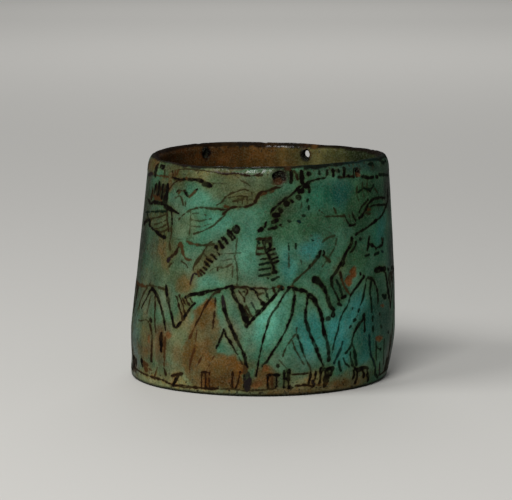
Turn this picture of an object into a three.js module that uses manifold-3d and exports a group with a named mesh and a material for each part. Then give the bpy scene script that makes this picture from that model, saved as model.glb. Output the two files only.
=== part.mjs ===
// An open faience pyxis: a cylindrical cosmetic box with a slow taper and a rolled rim, pierced for
// the cord that once held its lid. The wall is one hand-formed tube. The floor is a disc let into a
// rebate in the foot from below, and a ring of quartz slip lutes the two together.
//
// Millimetres, +Z up, the decorated front towards -Y. The ground is z = 0, and the Z axis passes
// through the middle of the whole vessel. A bearing is an angle round the wall from the front
// towards +X.

import * as THREE from "three";
import { mergeVertices, toCreasedNormals } from "three/addons/utils/BufferGeometryUtils.js";
import Module from "manifold-3d";

const wasm = await Module();
wasm.setup();

// Driving sizes of the wall
const bodyHeight = 58.5; // ground to the crest of the rim
const bellyRadius = 35; // outside, at the widest ring
const bellyHeight = 13; // height of the widest ring
const footRadius = 33.6; // outside, at the ground
const footWear = 1; // radius of the worn outer edge of the foot
const mouthRadius = 31.85; // outside, where the rim starts to roll in
const rimDrop = 4.5; // crest of the rim down to that place
const crestInset = 1.65; // how far in the crest lies from the mouth's outside
const rimThickness = 3.4; // wall at the mouth
const lipDrop = 2; // crest of the rim down to the inside of the mouth
const wallThickness = 4.2; // wall at the ground, before it is coved
const taperPower = 1.12; // above 1 the taper starts slowly at the belly

// Lean and unevenness of the hand-formed wall
const footLean = -0.8; // sideways shift of the foot
const rimLean = 1.25; // sideways shift of the rim
const rimSaddle = 0.35; // the rim's crest rises and dips twice round
const rimTilt = 0.14; // and is higher on one side
const rimTiltBearing = 135; // degrees, towards the side where it is higher
const waveStartShare = 0.6; // of the height: below this the wall is even

// Driving sizes of the joint between wall and floor
const footWidth = 2.4; // the wall's foot, measured in from the outside
const ledgeWidth = 2.2; // how far the wall reaches over the edge of the floor disc
const coveHeight = 7; // the wall thickens towards the ledge over this height
const floorThickness = 5;
const floorRecess = 0.5; // underside of the floor disc above the ground
const floorEdgeWear = 0.6; // radius of the disc's rounded edges
const lutingThickness = 0.6; // the ring of slip
const lutingRecess = 0.3; // the slip's lower edge above the disc's underside
const filletReach = 2.2; // how far the slip is smeared up the wall and in over the floor
const filletEdge = 0.3; // thickness of the smeared slip at its ends
const seatGap = 0.3; // clear space on each side of the slip

// The lashing holes, in two pairs on opposite sides
const holeBearings = [5.3, 46.4, 158.7, 216.2]; // degrees
const holeRadius = 1.2;
const holeDrop = 2.8; // crest of the rim down to the holes' centres
const flareRadius = 1.7; // the holes' worn mouths
const flareDepth = 0.8;
const cutOverrun = 2; // how far a cutter passes the surface

// Smoothness of the surfaces
const turnSteps = 72;
const bellySteps = 5;
const taperSteps = 10;
const rimSteps = 5;
const lipSteps = 4;
const insideSteps = 8;
const coveSteps = 4;
const edgeSteps = 3;
const filletSteps = 5;
const holeSteps = 20;
const creaseAngle = 35; // degrees: a sharper edge than this is shaded as an edge

// Heights and radii that follow from the sizes above
const shoulderHeight = bodyHeight - rimDrop;
const insideTop = bodyHeight - lipDrop;
const floorTop = floorRecess + floorThickness;
const ledgeHeight = floorTop + seatGap + lutingThickness + seatGap;
const rebateRadius = footRadius - footWidth;
const ledgeRadius = rebateRadius - ledgeWidth;
const floorRadius = rebateRadius - seatGap - lutingThickness - seatGap;

// The outside of the wall swells from the foot to the belly and then tapers to the mouth.
function outerRadiusAt(height) {
  if (height <= bellyHeight) {
    const swell = Math.sin((Math.PI / 2) * (height / bellyHeight));
    return footRadius + (bellyRadius - footRadius) * swell;
  }
  const share = Math.min(1, (height - bellyHeight) / (shoulderHeight - bellyHeight));
  return bellyRadius - (bellyRadius - mouthRadius) * share ** taperPower;
}

// The inside follows the outside at the wall's thickness, and is coved in towards the ledge.
function innerRadiusAt(height) {
  const upShare = Math.min(1, height / shoulderHeight);
  const plain = outerRadiusAt(height) - THREE.MathUtils.lerp(wallThickness, rimThickness, upShare);
  const coveShare = THREE.MathUtils.clamp((height - ledgeHeight) / coveHeight, 0, 1);
  return THREE.MathUtils.lerp(ledgeRadius, plain, Math.sin((Math.PI / 2) * coveShare));
}

// The vessel leans: its rings shift sideways with height, most quickly near the ground.
function leanAt(height) {
  const share = Math.min(1, height / bodyHeight);
  return THREE.MathUtils.lerp(footLean, rimLean, Math.sin((Math.PI / 2) * share));
}

// How far the hand-formed wall stands above its even height, fading out down the wall.
function waveAt(bearing, height) {
  const upShare = (height / bodyHeight - waveStartShare) / (1 - waveStartShare);
  const share = THREE.MathUtils.clamp(upShare, 0, 1);
  const tilt = rimTilt * Math.cos(bearing - THREE.MathUtils.degToRad(rimTiltBearing));
  return share * (rimSaddle * Math.sin(2 * bearing) + tilt);
}

// Points of a quarter ellipse from one corner to the next, the first point left out. The curve
// leaves the start upright and arrives level, or the other way round when levelFirst is true.
function quarter(from, to, steps, levelFirst = false) {
  return Array.from({ length: steps }, (_, i) => {
    const turn = (Math.PI / 2) * ((i + 1) / steps);
    const early = Math.sin(turn);
    const late = 1 - Math.cos(turn);
    return new THREE.Vector2(
      THREE.MathUtils.lerp(from.x, to.x, levelFirst ? early : late),
      THREE.MathUtils.lerp(from.y, to.y, levelFirst ? late : early),
    );
  });
}

// Points on a radius function between two heights, the first height left out.
function along(radiusAt, fromHeight, toHeight, steps) {
  return Array.from({ length: steps }, (_, i) => {
    const height = THREE.MathUtils.lerp(fromHeight, toHeight, (i + 1) / steps);
    return new THREE.Vector2(radiusAt(height), height);
  });
}

// Turns a closed outline of (radius, height) points about the vertical axis.
function turned(outline, steps = turnSteps) {
  return new THREE.LatheGeometry([...outline, outline[0].clone()], steps).rotateX(Math.PI / 2);
}

// Gives a turned piece the lean of the vessel and the waves of its wall.
function handFormed(geometry) {
  const places = geometry.getAttribute("position");
  for (let i = 0; i < places.count; i++) {
    const height = places.getZ(i);
    const bearing = Math.atan2(places.getX(i), -places.getY(i));
    places.setX(i, places.getX(i) + leanAt(height));
    places.setZ(i, height + waveAt(bearing, height));
  }
  return geometry;
}

// The wall's section, anticlockwise from the inner corner of the foot.
function wallOutline() {
  const point = (radius, height) => new THREE.Vector2(radius, height);
  const footEdge = point(footRadius - footWear, 0);
  const footSide = point(outerRadiusAt(footWear), footWear);
  const shoulder = point(mouthRadius, shoulderHeight);
  const crest = point(mouthRadius - crestInset, bodyHeight);
  const insideMouth = point(innerRadiusAt(insideTop), insideTop);
  const coveTop = ledgeHeight + coveHeight;
  return [
    point(rebateRadius, 0),
    footEdge,
    ...quarter(footEdge, footSide, edgeSteps, true),
    ...along(outerRadiusAt, footWear, bellyHeight, bellySteps),
    ...along(outerRadiusAt, bellyHeight, shoulderHeight, taperSteps),
    ...quarter(shoulder, crest, rimSteps),
    ...quarter(crest, insideMouth, lipSteps, true),
    ...along(innerRadiusAt, insideTop, coveTop, insideSteps),
    ...along(innerRadiusAt, coveTop, ledgeHeight, coveSteps),
    point(rebateRadius, ledgeHeight),
  ];
}

function solidOf(geometry) {
  const bare = geometry.clone().deleteAttribute("normal").deleteAttribute("uv");
  const merged = mergeVertices(bare);
  return new wasm.Manifold(
    new wasm.Mesh({
      numProp: 3,
      vertProperties: merged.getAttribute("position").array,
      triVerts: new Uint32Array(merged.getIndex().array),
    }),
  );
}

function geometryOf(solid) {
  const mesh = solid.getMesh();
  const geometry = new THREE.BufferGeometry();
  geometry.setAttribute("position", new THREE.BufferAttribute(mesh.vertProperties, 3));
  geometry.setIndex(new THREE.BufferAttribute(mesh.triVerts, 1));
  return toCreasedNormals(geometry, THREE.MathUtils.degToRad(creaseAngle));
}

// A cutter for one lashing hole: a drill with a worn mouth at each end, lying along the radius.
function holeCutter(bearingDegrees) {
  const bearing = THREE.MathUtils.degToRad(bearingDegrees);
  const height = bodyHeight - holeDrop;
  const inner = innerRadiusAt(height);
  const outer = outerRadiusAt(height);
  const flare = (flareRadius - holeRadius) / flareDepth;
  const wide = flareRadius + flare * cutOverrun;
  const outline = [
    new THREE.Vector2(0, inner - cutOverrun),
    new THREE.Vector2(wide, inner - cutOverrun),
    new THREE.Vector2(holeRadius, inner + flareDepth),
    new THREE.Vector2(holeRadius, outer - flareDepth),
    new THREE.Vector2(wide, outer + cutOverrun),
    new THREE.Vector2(0, outer + cutOverrun),
  ];
  const cutter = new THREE.LatheGeometry(outline, holeSteps);
  cutter.rotateZ(Math.PI).rotateZ(bearing);
  cutter.translate(leanAt(height), 0, height + waveAt(bearing, height));
  return cutter;
}

function makeWall() {
  const tube = solidOf(handFormed(turned(wallOutline())));
  const pierced = holeBearings.reduce(
    (solid, bearing) => solid.subtract(solidOf(holeCutter(bearing))),
    tube,
  );
  return geometryOf(pierced);
}

// The floor: a disc with rounded edges, a little above the ground.
function makeFloorDisc() {
  const point = (radius, height) => new THREE.Vector2(radius, height);
  const low = point(floorRadius - floorEdgeWear, floorRecess);
  const high = point(floorRadius, floorTop - floorEdgeWear);
  const outline = [
    point(0, floorRecess),
    low,
    ...quarter(low, point(floorRadius, floorRecess + floorEdgeWear), edgeSteps, true),
    high,
    ...quarter(high, point(floorRadius - floorEdgeWear, floorTop), edgeSteps),
    point(0, floorTop),
  ];
  return handFormed(new THREE.LatheGeometry(outline, turnSteps).rotateX(Math.PI / 2));
}

// The slip: a collar round the disc, a bed under the ledge, and a hollow fillet in the corner.
function makeLutingRing() {
  const point = (radius, height) => new THREE.Vector2(radius, height);
  const lowEdge = floorRecess + lutingRecess;
  const bedTop = ledgeHeight - seatGap;
  const overFloor = floorTop + seatGap;
  const filletTop = ledgeHeight + filletReach;
  const wallFace = (height) => innerRadiusAt(height) - seatGap;
  // the fillet's thickness off the wall and its height, from its upper end to its inner one
  const upperEnd = point(filletEdge, filletTop);
  const innerEnd = point(filletReach, overFloor + filletEdge);
  const hollow = [upperEnd, ...quarter(upperEnd, innerEnd, filletSteps)];
  const outline = [
    point(floorRadius + seatGap, lowEdge),
    point(rebateRadius - seatGap, lowEdge),
    point(rebateRadius - seatGap, bedTop),
    point(wallFace(ledgeHeight), bedTop),
    ...along(wallFace, ledgeHeight, filletTop, edgeSteps),
    ...hollow.map(({ x, y }) => point(wallFace(y) - x, y)),
    point(wallFace(ledgeHeight) - filletReach, overFloor),
    point(floorRadius + seatGap, overFloor),
  ];
  return handFormed(turned(outline));
}

function faience(colour, roughness) {
  return new THREE.MeshStandardMaterial({ color: colour, roughness, metalness: 0 });
}

function piece(name, geometry, material) {
  const mesh = new THREE.Mesh(geometry, material);
  mesh.name = name;
  return mesh;
}

const pyxis = new THREE.Group();
pyxis.add(
  piece("wall", makeWall(), faience(0x4f8d76, 0.45)),
  piece("floor_disc", makeFloorDisc(), faience(0x6b6a45, 0.7)),
  piece("luting_ring", makeLutingRing(), faience(0x8a7350, 0.85)),
);
pyxis.position.x = -new THREE.Box3().setFromObject(pyxis).getCenter(new THREE.Vector3()).x;

export default pyxis;
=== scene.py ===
import math

import bpy
import numpy as np
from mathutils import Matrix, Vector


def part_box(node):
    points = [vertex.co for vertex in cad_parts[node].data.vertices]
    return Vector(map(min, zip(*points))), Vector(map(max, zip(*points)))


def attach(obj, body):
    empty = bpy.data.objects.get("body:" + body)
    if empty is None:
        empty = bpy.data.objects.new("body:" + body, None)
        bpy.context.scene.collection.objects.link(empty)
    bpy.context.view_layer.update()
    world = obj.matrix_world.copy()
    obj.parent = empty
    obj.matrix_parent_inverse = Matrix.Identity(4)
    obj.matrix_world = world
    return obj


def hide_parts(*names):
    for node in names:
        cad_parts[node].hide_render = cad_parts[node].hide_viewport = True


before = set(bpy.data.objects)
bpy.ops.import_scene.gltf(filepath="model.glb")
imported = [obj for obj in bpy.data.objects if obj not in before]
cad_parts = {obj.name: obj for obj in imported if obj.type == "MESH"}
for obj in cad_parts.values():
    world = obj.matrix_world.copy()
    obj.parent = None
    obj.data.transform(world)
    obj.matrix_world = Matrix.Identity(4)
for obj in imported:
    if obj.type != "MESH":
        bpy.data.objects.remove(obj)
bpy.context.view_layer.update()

# An open faience pyxis in painted blue-green glaze. Sizes are in millimetres until a mesh is made.
# a is the way round the wall in mm, measured at refRadius from the front towards +X. z is the height.

mm = 0.001
wallLow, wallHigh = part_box("wall")
discLow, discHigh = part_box("floor_disc")

vessel = {
    "height": 58.5,
    "bellyRadius": (wallHigh.y - wallLow.y) / 2 / mm,
    "bellyHeight": 13.0,
    "footRadius": 33.6,
    "footWear": 0.6,
    "footSpread": 0.6,
    "mouthRadius": 31.85,
    "rimDrop": 4.5,
    "crestInset": 1.65,
    "rimThickness": 3.4,
    "lipDrop": 2.0,
    "wallThickness": 4.2,
    "taperPower": 1.12,
    "footLean": -0.8,
    "rimLean": 1.25,
    "recentring": 0.132,
    "rimSaddle": 0.35,
    "rimTilt": 0.14,
    "rimTiltBearing": math.radians(135),
    "waveStartShare": 0.6,
    "rebateRadius": 31.2,
    "ledgeRadius": 29.0,
    "ledgeHeight": discHigh.z / mm + 1.2,
    "coveHeight": 7.0,
}
refRadius = 34.0
roundWall = 2 * math.pi * refRadius

lashingHoles = {
    "bearings": [math.radians(d) for d in (5.3, 46.4, 158.7, 216.2)],
    "drop": 2.8,
    "flare": [2.05, 1.45, 1.8, 1.7],
    "tone": [(74, 44, 34), (80, 38, 30), (62, 46, 27), (40, 26, 15)],
    "shadeSide": [math.radians(d) for d in (75, 180, -45, 90)],  # which side of the mouth gets painted shade
    "halo": [-0.4, -0.3, 0.1, 0.2],  # how much wider than the mouth its worn ring is
    "innerFlare": [1.3, 1.4, 1.45, 1.35],
    "waist": [0.85, 0.95, 1.0, 0.95],
    "bend": [(-2.5, 0.7), (-0.9, 0.0), (0.0, 0.0), (1.4, 0.3)],  # a and z by which the bore strays
    "rings": 26,
}
shoulder = vessel["height"] - vessel["rimDrop"]
crestRadius = vessel["mouthRadius"] - vessel["crestInset"]
holeHeight = vessel["height"] - lashingHoles["drop"]


def smoothStep(low, high, x):
    t = np.clip((x - low) / (high - low), 0, 1)
    return t * t * (3 - 2 * t)


def mixed(first, second, share):
    return first + (second - first) * share


# Form of the wall

def outerRadius(z):
    # quarter sine from foot to belly, a power taper to the mouth, then a quarter ellipse over the rim
    v = vessel
    swell = np.sin(math.pi / 2 * np.clip(z / v["bellyHeight"], 0, 1))
    low = v["footRadius"] + (v["bellyRadius"] - v["footRadius"]) * swell
    up = np.clip((z - v["bellyHeight"]) / (shoulder - v["bellyHeight"]), 0, 1)
    high = v["bellyRadius"] - (v["bellyRadius"] - v["mouthRadius"]) * up ** v["taperPower"]
    roll = np.clip((z - shoulder) / v["rimDrop"], 0, 1)
    rolled = v["crestInset"] * (1 - np.sqrt(1 - roll * roll))
    return np.where(z < v["bellyHeight"], low, high) - rolled


def innerRadius(z):
    # the outside less the wall's thickness, rolled out at the lip and coved in above the ledge
    v = vessel
    up = np.clip(z / shoulder, 0, 1)
    plain = outerRadius(np.minimum(z, shoulder)) - mixed(v["wallThickness"], v["rimThickness"], up)
    cove = np.sin(math.pi / 2 * np.clip((z - v["ledgeHeight"]) / v["coveHeight"], 0, 1))
    coved = mixed(v["ledgeRadius"], plain, cove)
    roll = np.clip((z - (v["height"] - v["lipDrop"])) / v["lipDrop"], 0, 1)
    return coved + (crestRadius - coved) * (1 - np.sqrt(1 - roll * roll))


def leanAt(z):
    # a quarter sine from the foot's shift to the rim's
    share = np.sin(math.pi / 2 * np.clip(z / vessel["height"], 0, 1))
    return mixed(vessel["footLean"], vessel["rimLean"], share) + vessel["recentring"]


def waveAt(bearing, z):
    # two rises and dips round the rim and a tilt, fading out down the wall
    start = vessel["waveStartShare"]
    share = np.clip((z / vessel["height"] - start) / (1 - start), 0, 1)
    tilt = vessel["rimTilt"] * np.cos(bearing - vessel["rimTiltBearing"])
    return share * (vessel["rimSaddle"] * np.sin(2 * bearing) + tilt)


def spreadAt(bearing, radius, z):
    # the foot stands out a little to the left of the picture
    side = smoothStep(0.4, 0.85, -np.sin(bearing)) * smoothStep(5.5, 0.5, z)
    return vessel["footSpread"] * side * smoothStep(31.6, 32.8, radius)


def placed(bearing, radius, z):
    # a ring point, shifted by the lean and raised by the wave
    x = radius * np.sin(bearing) + leanAt(z)
    return np.stack([x, -radius * np.cos(bearing), z + waveAt(bearing, z)], -1)


# Noise that closes on itself round the wall

noiseBand = {"below": 12, "height": 90}


def sampled(values, u, v, eased=False):
    # a grid between its points, closed round the wall
    i = np.floor(u).astype(int)
    j = np.clip(np.floor(v).astype(int), 0, values.shape[1] - 2)
    f, g = u - i, v - j
    if eased:
        f, g = smoothStep(0, 1, f), smoothStep(0, 1, g)
    if values.ndim == 3:
        f, g = f[..., None], g[..., None]
    left, right = i % len(values), (i + 1) % len(values)
    low = mixed(values[left, j], values[right, j], f)
    high = mixed(values[left, j + 1], values[right, j + 1], f)
    return mixed(low, high, g)


def ringNoise(a, z, cell, seed):
    # random values on a lattice, eased between its points, from -1 to 1
    across = max(4, round(roundWall / cell))
    up = int(noiseBand["height"] / cell) + 3
    lattice = np.random.default_rng(seed).uniform(-1, 1, (across, up))
    v = np.clip((z + noiseBand["below"]) / cell, 0, up - 1.001)
    return sampled(lattice, a / roundWall * across, v, True)


def cloud(a, z, cell, seed, octaves=3):
    # octaves of ring noise, each of half the cell and half the height
    total, height = 0, 1
    for octave in range(octaves):
        total = total + height * ringNoise(a, z, cell / 2 ** octave, seed + 17 * octave)
        height *= 0.5
    return total / 1.5


def wrapped(a):
    return (a + roundWall / 2) % roundWall - roundWall / 2


# Colours, written as they look

def look(red, green, blue):
    # screen values to linear ones
    c = np.array([red, green, blue]) / 255
    return np.where(c <= 0.04045, c / 12.92, ((c + 0.055) / 1.055) ** 2.4)


glazes = {
    "sea": look(61, 103, 80),
    "aqua": look(83, 149, 128),
    "lightSea": look(68, 119, 97),
    "deepSea": look(30, 90, 69),
    "turquoise": look(50, 122, 116),
    "deepTeal": look(20, 76, 70),
    "greyTeal": look(38, 64, 55),
    "leaf": look(44, 78, 48),
    "darkLeaf": look(18, 46, 26),
    "greyGreen": look(88, 104, 82),
    "dullOlive": look(66, 70, 50),
    "paleOlive": look(90, 94, 62),
    # a pale grey-blue used only as a painted reflection of the floor, low on the wall's left and right
    # edges as the camera sees them
    "edgeSheen": look(78, 86, 82),
    "nightTeal": look(5, 22, 18),
    "murk": look(26, 31, 21),
    "olive": look(74, 69, 38),
    "straw": look(120, 122, 86),
    "earth": look(98, 80, 48),
    "ochre": look(87, 61, 25),
    "rust": look(72, 46, 24),
    "umber": look(36, 27, 15),
}

# where the glaze differs from its plain sea green, with a few painted reflections: colour, centre, half
# widths, amount
glazePatches = [
    # the left of the picture
    ("murk", (-48, 39), (10, 24), 0.95),
    ("murk", (-38, 45), (7, 9), 0.6),
    # painted reflection of the floor at the left edge
    ("edgeSheen", (-47, 9), (8, 11), 0.85),
    ("dullOlive", (-37, 23), (7, 12), 0.9),
    ("greyGreen", (-37, 23), (4, 7), 0.4),
    ("dullOlive", (-36.5, 36), (5, 4.5), 0.7),
    ("greyGreen", (-28.5, 23.5), (5, 5), 0.8),
    ("earth", (-28, 12), (6, 7), 0.75),
    ("earth", (-36, 9), (6, 6), 0.65),
    ("olive", (-36.5, 13), (5.5, 6), 0.75),
    ("murk", (-46, 23), (6, 9), 0.6),
    ("murk", (-46, 48), (6, 13), 0.6),
    ("murk", (-36.5, 36), (4, 5), 0.35),
    ("dullOlive", (-28.5, 44.5), (4.5, 7), 0.45),
    ("rust", (-28, 16), (3, 3), 0.3),
    ("paleOlive", (-22, 15), (4.5, 5.5), 0.85),
    ("earth", (-20.5, 20), (3, 6), 0.55),
    ("ochre", (-21.5, 8), (4, 5), 0.75),
    ("greyGreen", (-8.5, 15), (3.4, 6), 0.95),
    ("olive", (-29.5, 35), (6.5, 9), 0.8),
    ("olive", (-22, 29), (6, 4), 0.75),
    ("lightSea", (-20, 49.5), (7, 4.5), 0.62),
    ("greyGreen", (-27, 48), (4, 4), 0.6),
    ("paleOlive", (-23, 43), (5, 4), 0.5),
    ("lightSea", (-14.5, 42), (6, 5), 0.85),
    ("aqua", (-12.5, 44), (4, 3), 0.35),
    ("paleOlive", (-13, 52.5), (8, 3), 0.6),
    ("lightSea", (-14.5, 29), (6, 2.2), 0.75),
    ("olive", (-21, 27.5), (3.6, 3.4), 0.75),
    ("greyGreen", (-10.5, 35), (7, 7), 0.8),
    ("greyGreen", (-20, 33), (5, 5), 0.5),
    ("paleOlive", (-12, 31.5), (7, 3), 0.35),
    # the middle
    ("olive", (-6, 55), (12, 3.5), 0.65),
    ("olive", (-4, 51.5), (6, 3), 0.45),
    ("lightSea", (-4, 38), (4.5, 9), 0.9),
    ("lightSea", (5, 35), (4, 7), 0.8),
    ("leaf", (4, 45), (6, 7), 0.7),
    ("dullOlive", (4.5, 49), (4, 4), 0.5),
    ("leaf", (13, 43.5), (6, 4.5), 0.7),
    ("turquoise", (11.5, 38), (3.5, 3.5), 0.7),
    ("turquoise", (5.5, 34), (2.5, 5), 0.45),
    ("deepSea", (15, 51), (7, 4), 0.8),
    ("leaf", (20, 46), (5, 4), 0.5),
    ("aqua", (-1, 18.5), (6, 7), 0.95),
    ("aqua", (3.5, 23), (4.5, 6), 0.75),
    ("greyGreen", (-4, 26), (6, 6), 1.0),
    ("lightSea", (-4, 20), (4, 4), 0.5),
    ("lightSea", (-5, 12.5), (3, 3), 0.6),
    ("greyGreen", (4, 9), (5, 3.5), 0.6),
    ("greyGreen", (12, 8), (6, 3.5), 0.55),
    ("lightSea", (7, 16), (4.5, 10), 0.85),
    ("turquoise", (12.5, 15), (5, 8), 0.9),
    ("turquoise", (20, 15), (6, 9), 0.95),
    ("turquoise", (25, 21.5), (4, 5), 0.75),
    ("lightSea", (12, 32), (3.5, 3.5), 0.5),
    # the right of the picture
    ("leaf", (27, 48), (7, 7), 0.8),
    ("darkLeaf", (36, 50), (8, 6), 0.6),
    ("olive", (21, 31.5), (4, 3.5), 0.4),
    ("leaf", (26, 34), (6, 5), 0.7),
    ("deepSea", (36, 39), (6, 6), 0.8),
    ("deepTeal", (21, 52), (4, 4.6), 0.75),
    ("turquoise", (38, 41), (3.5, 6), 0.5),
    ("turquoise", (28, 8.5), (5, 3), 0.45),
    ("turquoise", (20.5, 9.5), (4, 3.5), 0.6),
    ("greyTeal", (20.5, 28), (4, 3), 0.5),
    ("greyTeal", (46, 30), (6, 16), 0.85),
    ("nightTeal", (46.5, 50), (5, 8), 0.85),
    ("nightTeal", (46.5, 35), (4.5, 8.5), 0.8),
    ("darkLeaf", (28, 40), (4, 14), 0.35),
    ("murk", (45, 50), (6, 7), 0.7),
    ("deepTeal", (30, 15), (5, 10), 0.85),
    ("darkLeaf", (35, 25), (5, 9), 0.5),
    ("greyTeal", (38, 16), (7, 9), 0.85),
    # bands of the foot and the rim
    ("straw", (-30, 1.6), (24, 3.4), 1.0),
    ("straw", (-14, 1.2), (12, 2.4), 0.8),
    ("earth", (8, 1), (14, 2.8), 0.95),
    ("rust", (1, 4.4), (5, 2.6), 0.75),
    ("straw", (12, 4), (6, 2.4), 0.85),
    ("earth", (24, 2), (12, 2.8), 0.85),
    ("straw", (22, 4.4), (3, 1.5), 0.5),
    ("greyGreen", (28, 4.5), (5, 3), 0.8),
    ("olive", (-45, 57), (7, 2.8), 1.0),
    ("ochre", (-41.5, 56.3), (4, 2.4), 0.5),
    ("umber", (-46, 57), (7, 2.8), 0.5),
    ("ochre", (-34, 53.6), (3, 2), 0.5),
    ("dullOlive", (-31, 57.5), (6, 1.6), 0.8),
    ("olive", (-29, 56.5), (6, 2.6), 0.8),
    ("paleOlive", (-20, 56.8), (8, 3), 0.95),
    ("olive", (-11, 57.2), (7, 2.4), 0.75),
    ("greyGreen", (-4, 57.4), (5, 2), 0.4),
    ("umber", (4, 56.6), (4, 2.6), 0.75),
    ("sea", (14, 56), (5, 2.4), 0.7),
    ("greyTeal", (29, 57.2), (12, 2.4), 0.95),
    ("murk", (40, 57), (8, 2.4), 0.6),
    ("ochre", (-45, 57), (5, 2.4), 0.6),
    ("umber", (-45, 53), (5, 3), 0.55),
    ("olive", (-28, 54), (4, 2), 0.6),
    ("umber", (16, 57.4), (8, 1.8), 0.4),
    # painted reflection of the floor low on both edges
    ("edgeSheen", (47, 6), (8, 10), 1.0),
    ("edgeSheen", (-47, 4.5), (8, 6), 1.0),
    ("greyGreen", (-4.5, 18), (3, 4), 0.6),
    ("greyGreen", (-4.5, 12), (2.5, 3), 0.6),
    ("ochre", (-4, 8), (2.5, 2), 0.5),
    # round the back
    ("olive", (70, 20), (14, 18), 0.6),
    ("greyGreen", (92, 44), (16, 12), 0.7),
    ("leaf", (118, 30), (12, 18), 0.6),
    ("lightSea", (100, 16), (9, 9), 0.8),
    ("turquoise", (64, 44), (9, 9), 0.7),
    ("turquoise", (58, 18), (8, 9), 0.6),
    ("greyGreen", (140, 36), (14, 16), 0.6),
    ("aqua", (124, 18), (8, 8), 0.7),
    ("umber", (136, 57), (14, 2), 0.7),
    ("darkLeaf", (54, 57), (12, 2), 0.6),
    ("earth", (70, 1.5), (20, 2.6), 0.8),
    ("straw", (112, 1.5), (24, 2.4), 0.8),
    ("olive", (152, 14), (10, 12), 0.5),
    ("lightSea", (84, 50), (8, 5), 0.6),
]

# brown stains with a tide line, and thin washes of paint inside the figures: colour, amount, outline
stains = [
    ("ochre", 1, (-15.3, 24.4), (-13.2, 25), (-12.3, 22.5), (-11.6, 19), (-11.2, 15.5), (-11.8, 12.6),
     (-11.6, 11.2), (-9, 10.9), (-6.4, 10.8), (-5, 9), (-4.3, 6), (-4.6, 2.1), (-12, 1.8), (-18, 2.2),
     (-20.3, 4), (-21.2, 7), (-21.4, 10), (-20.4, 13.5), (-19.2, 16.5), (-18.6, 19.5), (-19.4, 21.3),
     (-17.4, 23.3)),
    ("rust", 0.35, (-19.6, 13), (-18, 9), (-16, 6), (-12, 5), (-7, 7), (-5, 4), (-12, 2.4), (-19, 3)),
    ("ochre", 0.6, (-25, 26), (-24.4, 29.6), (-22.5, 30.4), (-20.6, 28.5), (-20.4, 26), (-22.5, 25.2)),
    ("ochre", 0.5, (-34, 38.8), (-30.3, 38.6), (-29.4, 34), (-28, 30), (-31, 31.5), (-33.5, 35.5)),
    ("ochre", 0.5, (-41.5, 10.4), (-34.6, 9.8), (-34.6, 6.6), (-41, 7)),
    ("rust", 0.5, (-35.6, 13.8), (-33.4, 14.2), (-32.9, 9), (-34.8, 9.2)),
    ("rust", 0.65, (-31, 16.2), (-28.9, 16.6), (-27, 12), (-26.6, 6.8), (-31.4, 7)),
    ("ochre", 0.5, (-38.5, 6.4), (-31, 6.4), (-24, 7), (-21, 5.4), (-24, 2.4), (-37, 3)),
    ("ochre", 0.6, (-1.5, 7.6), (1.8, 8.9), (3.4, 7), (2, 4.5), (-1.2, 5)),
    ("ochre", 0.6, (18.8, 4.6), (21.5, 4.2), (25.5, 2.4), (24, 1.2), (19.2, 1.6)),
    ("umber", 0.7, (-30.6, 52), (-33, 52.6), (-38.6, 51.8), (-41.6, 49.6), (-40, 48.4), (-31.4, 48.6)),
    ("ochre", 0.8, (-31.8, 55.2), (-29.9, 55.2), (-29.6, 51), (-31.2, 50.8)),
    ("olive", 0.9, (-46.5, 57.8), (-42.5, 57.8), (-41.6, 55), (-45, 54.6)),
    ("ochre", 0.7, (-2.2, 4.9), (1.2, 4.9), (1.4, 2.6), (-2.4, 2.5)),
    ("ochre", 0.55, (0, 8.4), (2.2, 8.2), (2, 6), (0.2, 5.8)),
    ("umber", 0.5, (0.6, 58), (5.2, 58), (5, 55.2), (2.4, 53.8), (0.6, 54.4)),
    ("olive", 0.35, (-44, 44.3), (-31.5, 46), (-30, 42), (-32, 39.2), (-41, 42)),
    ("olive", 0.6, (-14, 48.3), (-11, 51.2), (-7, 52.8), (-3, 52.4), (-2.6, 50), (-7, 48.4), (-11, 47.8)),
    ("olive", 0.75, (-20.4, 30.6), (-18.4, 35.5), (-16.3, 38.2), (-12, 39), (-12.5, 37), (-14.5, 34),
     (-16.5, 31.6), (-18.5, 30.6)),
    ("darkLeaf", 0.3, (9, 31), (12, 34.6), (14.4, 38.4), (17.6, 41), (20, 40.6), (18.8, 36.6), (15.5, 33),
     (11.4, 30)),
    ("darkLeaf", 0.2, (11, 53.6), (5, 50), (1, 46), (-1, 43), (2, 42.6), (6, 44), (11, 47)),
    ("olive", 0.3, (-2.3, 40.5), (-2.5, 31), (2, 31), (3, 34), (0.6, 40.5)),
    ("darkLeaf", 0.35, (21.6, 43), (25.6, 45), (30, 48.4), (36, 48.6), (40, 45), (36, 43), (30, 41.3),
     (25.6, 42)),
    ("olive", 0.12, (-9, 28), (-4.6, 18.6), (3.8, 27.8)),
    ("olive", 0.25, (-28.6, 26.4), (-24.5, 16.8), (-18.7, 23.4), (-22, 24.7)),
    ("darkLeaf", 0.4, (12.8, 29.6), (18.3, 21.4), (23.5, 25.5), (22, 30)),
    ("ochre", 0.9, (84, 17), (91, 15), (95, 8), (92, 2), (82, 3), (79, 9)),
    ("ochre", 0.8, (-72, 33), (-66, 31), (-62, 24), (-66, 19), (-73, 24)),
    ("rust", 0.6, (58, 10), (63, 9), (64, 4), (57, 4)),
    ("olive", 0.5, (60, 46), (72, 50), (80, 45), (74, 40), (62, 41)),
    ("olive", 0.5, (102, 50), (112, 49), (120, 44), (112, 40), (103, 43)),
]

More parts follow.
